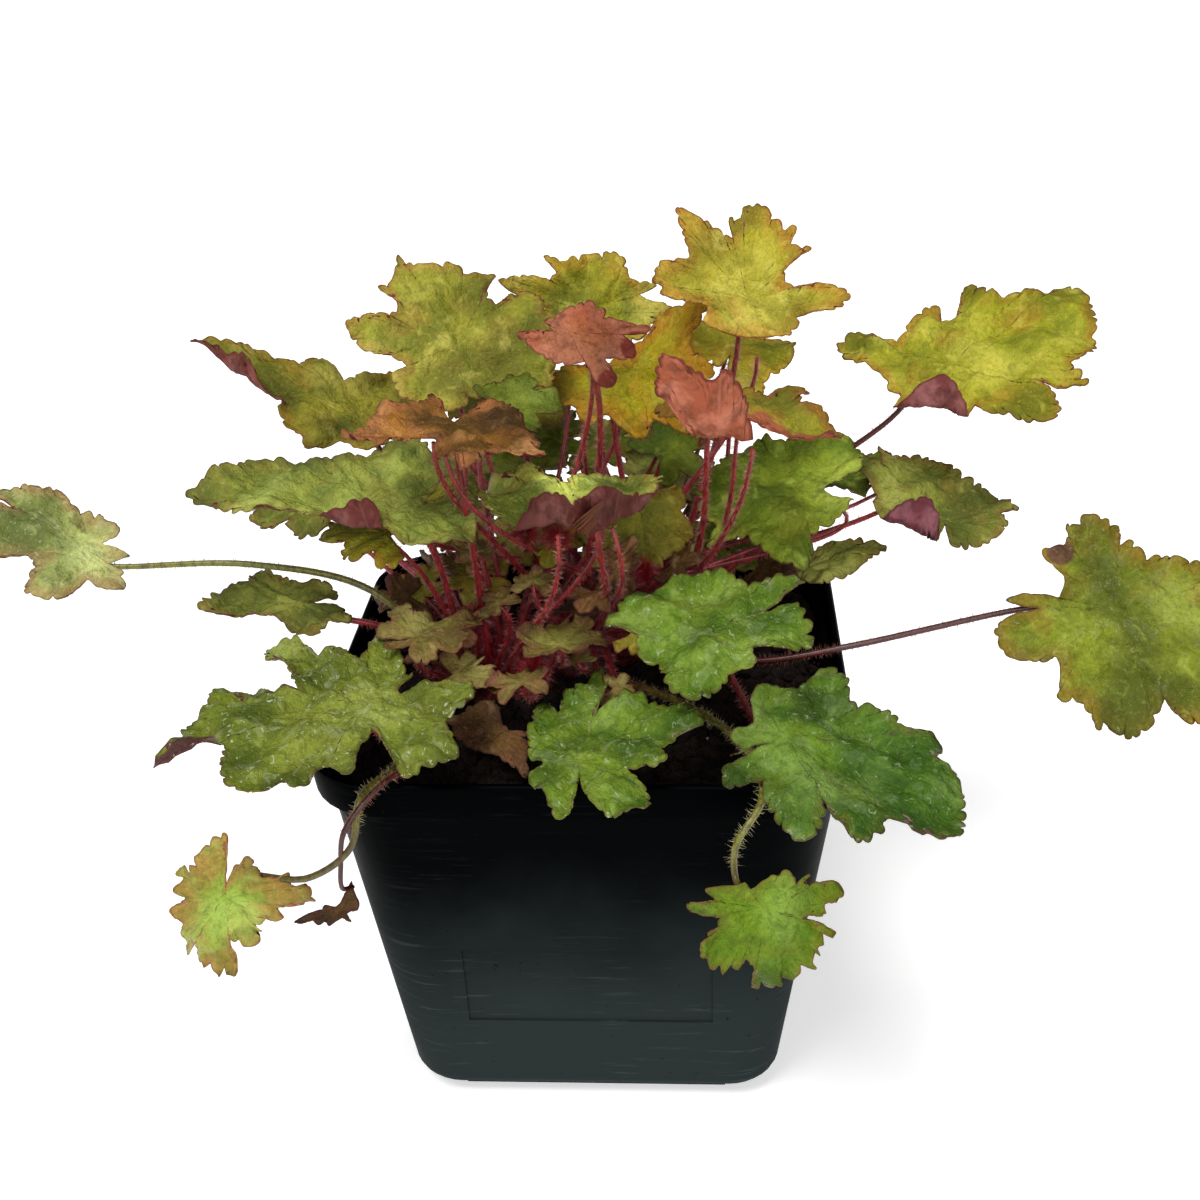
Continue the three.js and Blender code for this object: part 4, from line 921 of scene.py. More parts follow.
def plain_outline(leaf):
    """Corners of a regular blade's rim, worked out from its lobes."""
    lobes = leaf["lobes"]
    corners = []
    for k, (at, reach, _) in enumerate(lobes):
        sides = lobe_sides(leaf, k)
        for q in np.linspace(-1, 1, 15)[: None if k == len(lobes) - 1 else -1]:
            half, valley = sides[0 if q < 0 else 1]
            swell = 1 + 0.03 * math.cos(3 * math.pi * q) * (1 - abs(q))
            corners.append((at + q * half, (valley + (reach - valley) * (1 - abs(q) ** 3.5)) * swell))
    return corners


def rounded(points, reaches):
    """Runs smoothly through the corners of a rim, but turns sharply in each gap between two lobes."""
    last = len(points) - 1
    sharp = [False] * (last + 1)
    for k in range(1, last):
        sharp[k] = reaches[k] < min(reaches[k - 1], reaches[k + 1]) - GAP_DEPTH
    spans = np.maximum(np.hypot(*np.diff(points, axis=0).T), 1e-3)
    t = np.linspace(0, 1, 9)[1:, None]
    rise, fall = 3 * t**2 - 2 * t**3, t**3 - t**2
    curve = [points[:1]]
    for k, span in enumerate(spans):
        leave = arrive = chord = points[k + 1] - points[k]
        if k > 0 and not sharp[k]:
            leave = (points[k + 1] - points[k - 1]) * span / (span + spans[k - 1])
        if k + 1 < last and not sharp[k + 1]:
            arrive = (points[k + 2] - points[k]) * span / (span + spans[k + 1])
        curve.append(points[k] + chord * rise + leave * (fall - t**2 + t) + arrive * fall)
    return np.concatenate(curve)


def rim_corners(leaf):
    """Corners of the rim from the notch behind round to it again, and the direction of that notch."""
    if leaf["outline"]:
        around, reach = np.array(leaf["outline"], float).T
    else:
        around, reach = np.array(plain_outline(leaf)).T
    turn = np.radians(around)
    corners = np.stack([reach * np.cos(turn), reach * np.sin(turn)], 1) + leaf["hub"]
    seen = np.unwrap(np.arctan2(corners[:, 1], corners[:, 0]))
    behind = (seen[0] + seen[-1]) / 2 - math.pi
    gate = NOTCH * longest(leaf) * np.array([[math.cos(behind), math.sin(behind)]])
    return np.concatenate([gate, corners, gate]), math.degrees(behind)


def rim_curve(leaf):
    """Evenly spaced points along the rim, without teeth, from the notch behind round to it again."""
    corners, _ = rim_corners(leaf)
    x, y = rounded(corners, np.hypot(*(corners - leaf["hub"]).T)).T
    run = np.concatenate([[0], np.cumsum(np.hypot(np.diff(x), np.diff(y)))])
    even = np.linspace(0, run[-1], max(24, int(run[-1] / RIM_STEP_LENGTH)))
    x, y = np.interp(even, run, x), np.interp(even, run, y)
    for _ in range(2):
        x[1:-1], y[1:-1] = (x[:-2] + 2 * x[1:-1] + x[2:]) / 4, (y[:-2] + 2 * y[1:-1] + y[2:]) / 4
    return even, x, y


def toothed_rim(leaf, seed):
    """The rim with its small rounded teeth, and the rim without them."""
    run, x, y = rim_curve(leaf)
    aside, ahead = -np.gradient(y), np.gradient(x)
    length = np.maximum(np.hypot(aside, ahead), 1e-6)
    out = np.stack([-aside / length, -ahead / length])
    place = run / TOOTH_WIDTH + 0.35 * np.sin(0.37 * run + seed) + 0.2 * np.sin(0.83 * run + 2 * seed)
    t = 2 * (place - np.floor(place)) - 1
    blunt, sharp = 1 - np.abs(t) ** 3, 1 - np.abs(t)
    height = blunt + (sharp - blunt) * leaf["pointed"]
    depth = TOOTH_DEPTH * (1 + 0.5 * leaf["pointed"]) * (0.75 + 0.4 * np.sin(1.7 * np.floor(place) + seed))
    reach = np.hypot(x, y)
    depth = depth * ease(0.2, 0.5, reach / longest(leaf)) * min(1.0, longest(leaf) / 16)
    heading = np.unwrap(np.arctan2(-aside, ahead))
    turning = np.abs(np.roll(heading, -4) - np.roll(heading, 4))
    depth = depth * (1 - 0.85 * ease(0.7, 1.6, turning))
    dent = depth * (1 - height)
    return (x, y), (x - out[0] * dent, y - out[1] * dent)


def nearest_lobe(leaf, at):
    """The direction of the lobe that each direction belongs to, and its place across that lobe, -1 to 1."""
    ats = np.array([lobe[0] for lobe in leaf["lobes"]], float)
    borders = np.concatenate([[ats[0] - 26], (ats[1:] + ats[:-1]) / 2, [ats[-1] + 26]])
    which = np.clip(np.searchsorted(borders, at) - 1, 0, len(ats) - 1)
    away = at - ats[which]
    half = np.where(away < 0, ats[which] - borders[which], borders[which + 1] - ats[which])
    return ats[which], np.clip(away / half, -1, 1)


def between_lobes(leaf, at):
    """Reach and curl in each direction, eased from each lobe to the next."""
    ats, reaches, curls = np.array(leaf["lobes"], float).T
    above = np.searchsorted(ats, at, side="right")
    low, high = np.clip(above - 1, 0, len(ats) - 1), np.clip(above, 0, len(ats) - 1)
    gap = np.maximum(ats[high] - ats[low], 1e-6)
    share = np.where(low == high, 0, (1 - np.cos(np.pi * (at - ats[low]) / gap)) / 2)
    return [values[low] + (values[high] - values[low]) * share for values in (reaches, curls)]


def rolled(along, up, curvature):
    """Bends what lies along a line into an arc, carrying the height over the line with it."""
    bent = np.abs(curvature) > 1e-6
    k = np.where(bent, curvature, 1.0)
    line = np.where(bent, np.sin(k * along) * (1 / k - up), along)
    height = np.where(bent, (1 - np.cos(k * along)) / k + up * np.cos(k * along), up)
    return line, height


def rim_distance(x, y, rim_x, rim_y):
    """How far each point lies from the nearest part of the rim, up to a few columns aside."""
    nearest = np.full(x.shape, 1e3)
    for shift in range(-14, 15, 2):
        aside_x, aside_y = np.roll(rim_x, shift)[None, :], np.roll(rim_y, shift)[None, :]
        nearest = np.minimum(nearest, np.hypot(x - aside_x, y - aside_y))
    return nearest


def blade_frame(leaf):
    """Tip, side and face directions of a blade."""
    tip = Vector(leaf["tip"]).normalized()
    face = Vector(leaf["face"])
    face = (face - tip * face.dot(tip)).normalized()
    return tip, face.cross(tip), face


def blade_relief(leaf, seed, turn, reach, across, along, x, y):
    """Height of the quilted surface: sunk veins, puckers between them and waves along the rim."""
    size = longest(leaf)
    out = reach / size
    phase = 2 * math.pi * chance(seed, 40)
    side = (along - VEIN_SLANT * across) / VEIN_PITCH
    quilt = -0.22 * np.cos(2 * np.pi * side) * ease(0.1, 0.35, out)
    groove = -0.25 * np.exp(-((across / 1.1) ** 2)) * ease(0.0, 0.2, out)
    bent_x, bent_y = 0.25 * x + 1.3 * np.sin(0.17 * y + phase), 0.23 * y - 1.1 * np.sin(0.2 * x)
    broad = 1.7 * np.sin(bent_x) * np.cos(bent_y) * ease(0.0, 0.3, out)
    bent_x, bent_y = 0.83 * x + 1.7 * np.sin(0.41 * y + phase), 0.71 * y - 1.3 * np.sin(0.37 * x)
    pucker = 0.5 * np.sin(bent_x) * np.cos(bent_y)
    bent_x, bent_y = 1.9 * x + 1.5 * np.sin(1.1 * y), 1.7 * y + 1.4 * np.sin(1.2 * x + phase)
    small = 0.2 * np.sin(bent_x) * np.cos(bent_y)
    waves = 0.8 * np.sin(7 * turn + phase) + 0.6 * np.sin(11 * turn + 1.7 * phase) + 0.4 * np.sin(19 * turn)
    frill = leaf["frill"] * waves * out**4 * min(1.2, 0.4 + size / 28)
    return (quilt + groove + pucker + small + broad) * min(1.0, size / 22) + frill


def directions(leaf, x, y):
    """The direction of each place of a blade, counted on from the notch behind without a jump."""
    behind = (rim_corners(leaf)[1] + 180) % 360 - 180
    at = (np.degrees(np.arctan2(y, x)) - behind) % 360
    return at + behind - (360 if behind > 0 else 0)


def toward(degrees):
    """Ahead and aside shares of a direction."""
    return math.cos(math.radians(degrees)), math.sin(math.radians(degrees))


def near_spot(x, y, towards, middle, radius, full):
    """1 inside a share of a spot's radius, and down to 0 at its rim."""
    ahead, aside = toward(towards)
    return 1 - ease(full * radius, radius, np.hypot(x - middle * ahead, y - middle * aside))


def curled_lobes(leaf, at, reach, up):
    """Curls each lobe up or down: line and height over it, and how far a place has turned over."""
    span, curl = between_lobes(leaf, at)
    if leaf["outline"]:
        curl = curl * OUTLINED_CURL
    flat = CURL_FROM * span
    line, height = rolled(reach - flat, up, np.radians(curl) / (span - flat))
    line = np.where(reach > flat, line + flat, reach)
    height = np.where(reach > flat, height, up)
    return line, height, np.clip(np.abs(curl) / 90 * (reach - flat) / (span - flat), 0, 1)


def folded(leaf, at, ahead, side, height, curled):
    """Bends the blade over along each of its folds."""
    for towards, away, angle, radius, start, end in leaf["folds"]:
        aim = toward(towards)
        within = ease(start - 1, start + 3, at) * (1 - ease(end - 3, end + 1, at))
        past = np.maximum(ahead * aim[0] + side * aim[1] - away, 0) * within
        most = math.radians(abs(angle))
        bend = np.minimum(past / radius, most)
        rest = past - radius * bend
        shift = radius * np.sin(bend) + rest * np.cos(most) - past
        ahead, side = ahead + shift * aim[0], side + shift * aim[1]
        height = height + math.copysign(1, angle) * (radius * (1 - np.cos(bend)) + rest * np.sin(most))
        curled = np.maximum(curled, np.clip(bend / math.radians(100), 0, 1))
    return ahead, side, height, curled


def blade_places(leaf, seed, x, y, at):
    """Where places of the flat blade end up, with what the finish reads there."""
    size, reach = longest(leaf), np.hypot(x, y)
    lobe, q = nearest_lobe(leaf, at)
    turn, off = np.radians(at), np.radians(at - lobe)
    across, along = np.abs(reach * np.sin(off)), reach * np.cos(off)
    out = reach / size

    wave = 2 * math.pi * np.array([chance(seed, 20), chance(seed, 21)])
    ruffle = leaf["ruffle"] * (np.sin(3 * turn + wave[0]) + 0.6 * np.sin(5 * turn + wave[1]))
    rise = (leaf["cup"] - leaf["pleat"] * np.cos(np.pi * q)) * out**2 + ruffle * out**3
    up = rise * size + blade_relief(leaf, seed, turn, reach, across, along, x, y)

    line, height, curled = curled_lobes(leaf, at, reach, up)
    ahead, side = line * np.cos(turn), line * np.sin(turn)
    ahead, side, height, curled = folded(leaf, at, ahead, side, height, curled)
    for spot in leaf["flush"]:
        curled = np.maximum(curled, near_spot(x, y, *spot, 0.6))
    # The tone factor and its spots: partly the blade's own tone, partly painted light and painted shade.
    tone = np.full_like(x, leaf["tone"])
    for *spot, factor in leaf["shade"]:
        tone = tone * (1 + (factor - 1) * near_spot(x, y, *spot, 0.3))

    side, raised = rolled(side, height, -math.radians(leaf["sides"]) / size)
    ahead, raised = rolled(ahead, raised, -math.radians(leaf["droop"]) / size)
    points = np.array(leaf["at"], float)
    for distance, axis in zip((ahead, side, raised), blade_frame(leaf)):
        points = points + distance[..., None] * np.array(axis)
    return points, {"across": across, "along": along, "out": out, "curled": curled, "tone": tone}


def blade_grid(leaf, seed):
    """Points of a blade, row by row from its middle to its rim, with what its finish reads."""
    (smooth_x, smooth_y), (rim_x, rim_y) = toothed_rim(leaf, seed)
    rows = max(6, round(longest(leaf) / RING_STEP))
    share = np.linspace(0, 1, rows + 1)[:, None]
    hub_x, hub_y = leaf["hub"]
    x = hub_x + share * (smooth_x - hub_x + (rim_x - smooth_x) * share**4)
    y = hub_y + share * (smooth_y - hub_y + (rim_y - smooth_y) * share**4)
    at = directions(leaf, x, y)
    first = at.min() + 10
    at[:, 0] = np.where(at[:, 0] > first + 340, at[:, 0] - 360, at[:, 0])
    at[:, -1] = np.where(at[:, -1] < first, at[:, -1] + 360, at[:, -1])
    points, measures = blade_places(leaf, seed, x, y, at)
    measures["rim"] = rim_distance(x, y, rim_x, rim_y)
    flat_place = np.stack([x, y, np.full_like(x, seed * 17.0)], axis=-1)
    return points, measures, flat_place


def blade_mesh(leaf, seed, name):
    """A blade as one sheet, with what its finish reads kept on each place."""
    points, measures, flat_place = blade_grid(leaf, seed)
    rows, columns = points.shape[:2]
    bm = bmesh.new()
    bmesh.ops.create_grid(bm, x_segments=columns - 1, y_segments=rows - 1, size=1)
    layers = [(bm.verts.layers.float.new(key), value[:, ::-1].ravel()) for key, value in measures.items()]
    flat_layer = bm.verts.layers.float_vector.new("flat")
    places = points[:, ::-1].reshape(-1, 3)
    flats = flat_place[:, ::-1].reshape(-1, 3)
    for i, vert in enumerate(bm.verts):
        vert.co = places[i]
        vert[flat_layer] = flats[i]
        for layer, values in layers:
            vert[layer] = values[i]
    bmesh.ops.remove_doubles(bm, verts=bm.verts[:], dist=1e-4)
    return to_mesh(bm, name)


COLOUR_SLOTS = {
    "leaf_red": ("russet", "rosy"),
    "leaf_amber": ("amber", "salmon"),
    "leaf_withered": ("withered",),
    "leaf_lime": ("olive", "pale_olive", "gold", "citrus", "tan_olive", "bright", "sunlit"),
}


def slot_of(look):
    """The colour group that a look belongs to."""
    for slot, looks in COLOUR_SLOTS.items():
        if look in looks:
            return slot
    return "leaf_green"


def add_leaves(finishes):
    """Every blade as a piece of its own."""
    for number, leaf in enumerate(LEAVES + sprouts(), 1):
        named = [f"leaf_{number:02d}"] if number <= len(LEAVES) else []
        mesh = blade_mesh(leaf, number, f"blade {number}")
        obj = piece(f"blade_{number:02d}", mesh, finishes[leaf["look"]], slot_of(leaf["look"]), *named)
        solid = obj.modifiers.new("thickness", "SOLIDIFY")
        solid.thickness = BLADE * MM
        solid.offset = 0
        solid.material_offset = 1


# ---------------------------------------------------------------- stalks


def bezier(points, t):
    """A place on the curve that four points lead."""
    a, b, c, d = points
    return a * (1 - t) ** 3 + b * 3 * t * (1 - t) ** 2 + c * 3 * t * t * (1 - t) + d * t**3


def through(points, t):
    """A smooth run through all the points, without loops where they lie unevenly."""
    points = [points[0] * 2 - points[1], *points, points[-1] * 2 - points[-2]]
    k = min(int(t * (len(points) - 3)), len(points) - 4)
    local = t * (len(points) - 3) - k
    p0, p1, p2, p3 = points[k : k + 4]
    d0, d1, d2 = (max((b - a).length, 1e-4) ** 0.5 for a, b in ((p0, p1), (p1, p2), (p2, p3)))
    leave = ((p1 - p0) / d0 - (p2 - p0) / (d0 + d1) + (p2 - p1) / d1) * d1
    reach = ((p2 - p1) / d1 - (p3 - p1) / (d1 + d2) + (p3 - p2) / d2) * d1
    c = (p2 - p1) * 3 - leave * 2 - reach
    d = (p1 - p2) * 2 + leave + reach
    return p1 + leave * local + c * local**2 + d * local**3


def stalk_path(leaf, seed):
    """Points along a stalk, from inside its head up to the blade."""
    head_x, head_y, radius, top = HEADS[leaf["head"]]
    seat = Vector(leaf["at"])
    tip, _, face = blade_frame(leaf)
    lean = math.radians(leaf["lean"])
    into = face * math.cos(lean) + tip * math.sin(lean)
    out = Vector((seat.x - head_x, seat.y - head_y, 0))
    low = math.atan2(out.length, seat.z - top) / (math.pi / 2)
    out.normalize()
    out.rotate(Matrix.Rotation(math.radians(70 * (chance(seed, 30) - 0.5)), 3, "Z"))
    start = Vector((head_x, head_y, top - ROOT)) + out * radius * (0.15 + 0.6 * low)
    if leaf["via"]:
        points = [start, *map(Vector, leaf["via"]), seat - into * 5, seat - face * SEATED]
        return [through(points, i / 40) for i in range(41)]
    span = (seat - start).length
    bow = Vector(leaf["bow"])
    rising = start + out * span * 0.1 + bow + Vector((0, 0, span * 0.35))
    arriving = seat - into * (span * 0.3 + 1) + bow
    return [bezier((start, rising, arriving, seat - face * SEATED), i / 20) for i in range(21)]


# the leaves under which thinner stalks end
CROWDED = (3, 4, 4, 5, 6, 7, 7, 8, 9, 9, 10, 12, 12, 12, 13, 13, 14, 16, 17, 17, 18, 18, 19, 39, 41, 43)


def crowded_stalks():
    """Thinner stalks that rise with the others and end unseen under the same blades."""
    draw = random.Random(21)
    made = []
    for number in CROWDED:
        leaf = LEAVES[number - 1]
        tip, side, face = blade_frame(leaf)
        away = 0.28 * longest(leaf)
        spot = Vector(leaf["at"]) + tip * draw.uniform(-away, away)
        spot = spot + side * draw.uniform(-away, away) - face
        bow = [v + draw.uniform(-4, 4) for v in leaf["bow"]]
        head = draw.choice(list(HEADS))
        own = {"at": tuple(spot), "bow": bow, "head": head, "via": (), "lobes": [(0, 12, 0)], "stalk": "red"}
        made.append({**leaf, **own})
    return made


STALK_KINDS = {
    "red": ((172, 26, 40), (176, 50, 54), (146, 62, 52)),
    "olive": ((140, 58, 50), (132, 128, 40), (134, 132, 44)),
    "brown": ((100, 26, 24), (92, 30, 24), (86, 34, 26)),
}
HAIR_KINDS = {
    "red": ("stalk hair red", (206, 80, 84), (216, 130, 120), (206, 160, 136)),
    "olive": ("stalk hair pale", (190, 150, 110), (196, 186, 130), (206, 200, 150)),
    "brown": ("stalk hair brown", (180, 100, 90), (190, 120, 100), (196, 140, 110)),
}
CROWN_MIDDLE = (-4.0, 12.0, 95.0)


def stalk_group():
    """Colour that fades from the crown outwards, with fine lengthwise streaks."""
    inputs = {"Spot": "Vector", "Drawn Out": "Vector"}
    inputs.update(dict.fromkeys(("Base", "Middle", "Far", "Dark"), "Color"))
    tree, given, out = node_group("stalk", inputs, {"Colour": "Color", "Streak": "Float"})
    ends = {0: given["Spot"], 1: CROWN_MIDDLE}
    from_crown = node(tree, "VectorMath", ends, operation="DISTANCE").outputs["Value"]
    colour = mixed(tree, eased(tree, from_crown, 12.0, 55.0), given["Base"], given["Middle"])
    colour = mixed(tree, eased(tree, from_crown, 55.0, 120.0), colour, given["Far"])
    streak = noise(tree, given["Drawn Out"], 1.0, 3)
    colour = mixed(tree, eased(tree, streak, 0.42, 0.6, 0.0, 0.75), colour, given["Dark"])
    height = node(tree, "SeparateXYZ", {"Vector": given["Spot"]}).outputs["Z"]
    colour = mixed(tree, eased(tree, height, 90.0, 99.0, 0.55, 0.0), colour, paint(70, 28, 26))
    tree.links.new(colour, out["Colour"])
    tree.links.new(streak, out["Streak"])
    return tree


STALK = stalk_group()


def stalk_finish(name, base, middle, far, hair=False):
    """A glossy stalk, or the hairs on it."""
    material, tree, shader = finish_of(name)
    places = {"Spot": place_of(tree), "Drawn Out": place_of(tree, Scale=(1100, 1100, 160))}
    tints = {"Base": paint(*base), "Middle": paint(*middle), "Far": paint(*far)}
    tints["Dark"] = paint(*[v * 0.6 for v in middle])
    made = placed_group(tree, STALK, **places, **tints)
    feed(tree, shader, Base_Color=made["Colour"], Roughness=0.4 if hair else 0.34, Specular_IOR_Level=0.5)
    if not hair:
        feed(tree, shader, Normal=bumped(tree, made["Streak"], 0.15, 0.6))
    return material


def stalk_tubes(paths):
    """The mesh of all stalks: a tube along each path, which is its points, radii and kind."""
    curve = bpy.data.curves.new("stalks", "CURVE")
    curve.dimensions = "3D"
    curve.bevel_depth = 1
    curve.bevel_resolution = 2
    curve.use_fill_caps = True
    for kind, colours in STALK_KINDS.items():
        curve.materials.append(stalk_finish(f"stalk {kind}", *colours))
    for path, radii, kind in paths:
        spline = curve.splines.new("POLY")
        spline.points.add(len(path) - 1)
        for point, place, radius in zip(spline.points, path, radii):
            point.co = (*place, 1)
            point.radius = radius
        spline.material_index = list(STALK_KINDS).index(kind)
        spline.use_smooth = True
    holder = bpy.data.objects.new("stalks", curve)
    bpy.context.scene.collection.objects.link(holder)
    tubes = bpy.data.meshes.new_from_object(holder)
    bpy.data.objects.remove(holder)
    return tubes


def stalk_hairs(paths):
    """Places of the hairs on every stalk of a kind."""
    draw = random.Random(11)
    hairs = {kind: [] for kind in STALK_KINDS}
    for path, radii, kind in paths:
        for a, b, radius in zip(path, path[1:], radii):
            if a.z < BARE_BELOW:
                continue
            along = (b - a).normalized()
            aside = along.orthogonal().normalized()
            for _ in range(round((b - a).length * STALK_HAIRS)):
                out = Matrix.Rotation(draw.uniform(0, 2 * math.pi), 3, along) @ aside
                root = a.lerp(b, draw.random()) + out * radius * 0.9
                aim = out + along * draw.uniform(-0.45, 0.35) + either_way(draw, 0.15)
                hairs[kind].append(placing(root, aim, draw.uniform(0.04, 0.065), draw.uniform(0.6, 1.8)))
    return hairs


def add_stalks():
    """All stalks as one piece, and the hairs of each kind of stalk as another."""
    paths = []
    for number, leaf in enumerate(LEAVES + crowded_stalks() + sprouts(), 1):
        path = stalk_path(leaf, number)
        thin = 0.75 if longest(leaf) < 17 else 1.0
        share = [i / (len(path) - 1) for i in range(len(path))]
        radii = [thin * (STALK_THICK + (STALK_THIN - STALK_THICK) * v) for v in share]
        paths.append((path, radii, leaf["stalk"]))
    piece("leaf_stalks", stalk_tubes(paths), [], "crown_and_stalks", "crown_with_stalks")

    spike = hair_shape()
    for kind, places in stalk_hairs(paths).items():
        mesh = scattered(f"hairs {kind}", spike, places)
        piece(f"stalk_hairs_{kind}", mesh, [stalk_finish(*HAIR_KINDS[kind], hair=True)], "crown_and_stalks")


# ---------------------------------------------------------------- crown


def crown_finish():
    """Dark red-brown, rough and knobbly."""
    material, tree, shader = finish_of("crown")
    spot = place_of(tree)
    grain = noise(tree, spot, 0.5, 4, 0.6)
    colour = mixed(tree, eased(tree, grain, 0.35, 0.7), paint(120, 34, 40), paint(74, 32, 26))
    feed(tree, shader, Base_Color=colour, Roughness=0.7, Normal=bumped(tree, grain, 1.0))
    return material


def crown_heads():
    """Three flattened, knobbly balls."""
    bm = bmesh.new()
    for x, y, radius, top in HEADS.values():
        for vert in bmesh.ops.create_icosphere(bm, subdivisions=4, radius=1)["verts"]:
            u, v, w = vert.co
            bump = 1 + 0.1 * math.sin(9 * u + 4 * v) * math.sin(8 * v + 5 * w)
            away = Vector((u * radius, v * radius, w * HEAD_DEPTH)) * bump
            vert.co = Vector((x, y, top - HEAD_DEPTH)) + away
    return to_mesh(bm, "crown heads")


def crown_hairs():
    """Places of the dense hairs, first on the heads and then in the tufts."""
    draw = random.Random(5)
    places = []
    for x, y, radius, top in HEADS.values():
        for _ in range(HEAD_HAIRS):
            turn, away = draw.uniform(0, 2 * math.pi), draw.random() ** 0.6
            ahead, aside = away * math.cos(turn), away * math.sin(turn)
            root = (x + radius * ahead, y + radius * aside, top - HEAD_DEPTH * away**2 - 0.6)
            lean = draw.uniform(-0.5, 0.5), draw.uniform(-0.5, 0.5)
            aim = (ahead * 0.9 + lean[0], aside * 0.9 + lean[1], draw.uniform(0.4, 1.2))
            places.append(placing(root, aim, draw.uniform(0.06, 0.11), draw.uniform(2.5, 8.5)))
    for x, y, z, radius in TUFTS:
        for _ in range(TUFT_HAIRS):
            aim = Vector([draw.gauss(0, 1) for _ in "xyz"])
            root = Vector((x, y, z)) + aim.normalized() * radius * draw.uniform(0.1, 0.6)
            places.append(placing(root, aim, draw.uniform(0.06, 0.1), draw.uniform(1.5, 4)))
    return places


def add_crown():
    """The three heads, and the dense hairs round them."""
    piece("crown_heads", crown_heads(), [crown_finish()], "crown_and_stalks")
    fuzz = stalk_finish("crown hair", (196, 28, 44), (184, 34, 48), (196, 110, 100), hair=True)
    piece("crown_hairs", scattered("crown hairs", hair_shape(), crown_hairs()), [fuzz], "crown_and_stalks")


# ---------------------------------------------------------------- potting mix



def wall_half(z):
    """From the pot's middle to the outside of its wall."""
    return BASE_HALF + (RIM_HALF - RIM_STEP - BASE_HALF) * (z - WALL_FROM) / (POT_HEIGHT - WALL_FROM)


def wall_corner(z):
    """Radius of the wall's corners."""
    return BASE_CORNER + (TOP_CORNER - BASE_CORNER) * (z - WALL_FROM) / (POT_HEIGHT - WALL_FROM)


def soil_height(x, y):
    """The mounded, uneven top of the mix."""
    away = math.hypot(x, y) / 60
    small = math.sin(x * 0.31 + 1.3) * math.cos(y * 0.27 - 0.6)
    broad = math.sin(x * 0.13 - y * 0.21 + 2.1)
    return SOIL_EDGE + SOIL_MOUND * max(0, 1 - away * away) + SOIL_BUMPS * (small + 0.6 * broad)


def soil_finish():
    """Dark crumbly mix with paler fibres."""
    material, tree, shader = finish_of("potting mix")
    spot = place_of(tree)
    clods, grit = noise(tree, spot, 0.35, 5, 0.65), noise(tree, spot, 1.6, 4, 0.6)
    colour = mixed(tree, eased(tree, clods, 0.35, 0.65), paint(20, 15, 13), paint(46, 33, 26))
    colour = mixed(tree, eased(tree, grit, 0.55, 0.72, 0.0, 0.7), colour, paint(74, 56, 44))
    feed(tree, shader, Base_Color=colour, Roughness=0.95, Specular_IOR_Level=0.2)
    feed(tree, shader, Normal=bumped(tree, grit, 1.2))
    return material


def perlite_finish():
    """White, slightly stained grains."""
    material, tree, shader = finish_of("perlite")
    grain = noise(tree, place_of(tree), 1.5, 4)
    colour = mixed(tree, grain, paint(228, 224, 214), paint(188, 180, 166))
    feed(tree, shader, Base_Color=colour, Roughness=0.9, Normal=bumped(tree, grain, 0.3))
    return material


def round_cornered(u, v, half, corner):
    """Carries a place in a square from -1 to 1 into one with round corners."""
    level = max(abs(u), abs(v), 1e-6)
    core = half - corner
    square = Vector((u / level * half, v / level * half))
    inner = Vector((clamp(square.x, -core, core), clamp(square.y, -core, core)))
    away = square - inner
    if away.length > corner:
        square = inner + away * (corner / away.length)
    return square * level, level


def soil_block():
    """The block of potting mix, which fills the pot and crumbles on top."""
    bm = bmesh.new()
    bmesh.ops.create_cube(bm, size=2)
    bmesh.ops.subdivide_edges(bm, edges=bm.edges[:], cuts=56, use_grid_fill=True)
    for vert in bm.verts:
        u, v, w = vert.co
        z = SOIL_FLOOR + (SOIL_EDGE - SOIL_SHOULDER - SOIL_FLOOR) * (w + 1) / 2
        (x, y), level = round_cornered(u, v, wall_half(max(z, 7)) - WALL - 0.3, wall_corner(z) - WALL)
        if w > 0.999:
            bent_x, bent_y = 0.9 * x + 2.2 * math.sin(0.55 * y), 0.8 * y + 1.9 * math.sin(0.6 * x)
            crumble = math.sin(bent_x) * math.sin(bent_y)
            z = soil_height(x, y) + 0.8 * crumble * (1 - level**12) - 0.8 - 3.2 * level**24
        vert.co = (x, y, z)
    return to_mesh(bm, "potting mix")


def strewn(draw, count, smallest, largest):
    """Places for loose grains on the mix, clear of the pot's round corners."""
    places = []
    while len(places) < count:
        x, y = draw.uniform(-55, 55), draw.uniform(-55, 55)
        if min(abs(x), abs(y)) > 43 and math.hypot(abs(x) - 41, abs(y) - 41) > 13:
            continue
        size = smallest + (largest - smallest) * draw.random() ** 2.2
        turned = Matrix.Rotation(draw.uniform(0, 6.28), 3, either_way(draw, 1))
        turned = turned @ Matrix.Diagonal([size * draw.uniform(0.6, 1.3) for _ in "xyz"])
        spot = (x, y, soil_height(x, y) - 0.6 + size * 0.35)
        places.append([[*turned[row], spot[row]] for row in range(3)])
    return places


def add_soil():
    """The potting mix, with loose crumbs and perlite on top."""
    mix = soil_finish()
    piece("potting_mix", soil_block(), [mix], "potting_mix", "soil")
    crumb = prototype(bmesh.ops.create_icosphere, subdivisions=1, radius=1)
    draw = random.Random(3)
    for vert in crumb.vertices:
        vert.co *= draw.uniform(0.7, 1.2)
    crumbs = scattered("crumbs", crumb, strewn(draw, CRUMBS, 0.4, 2.3))
    piece("soil_crumbs", crumbs, [mix], "potting_mix")
    grains = scattered("perlite", crumb, strewn(draw, PERLITE_GRAINS, 0.5, 1.3))
    piece("perlite", grains, [perlite_finish()], "potting_mix")


# ---------------------------------------------------------------- pot


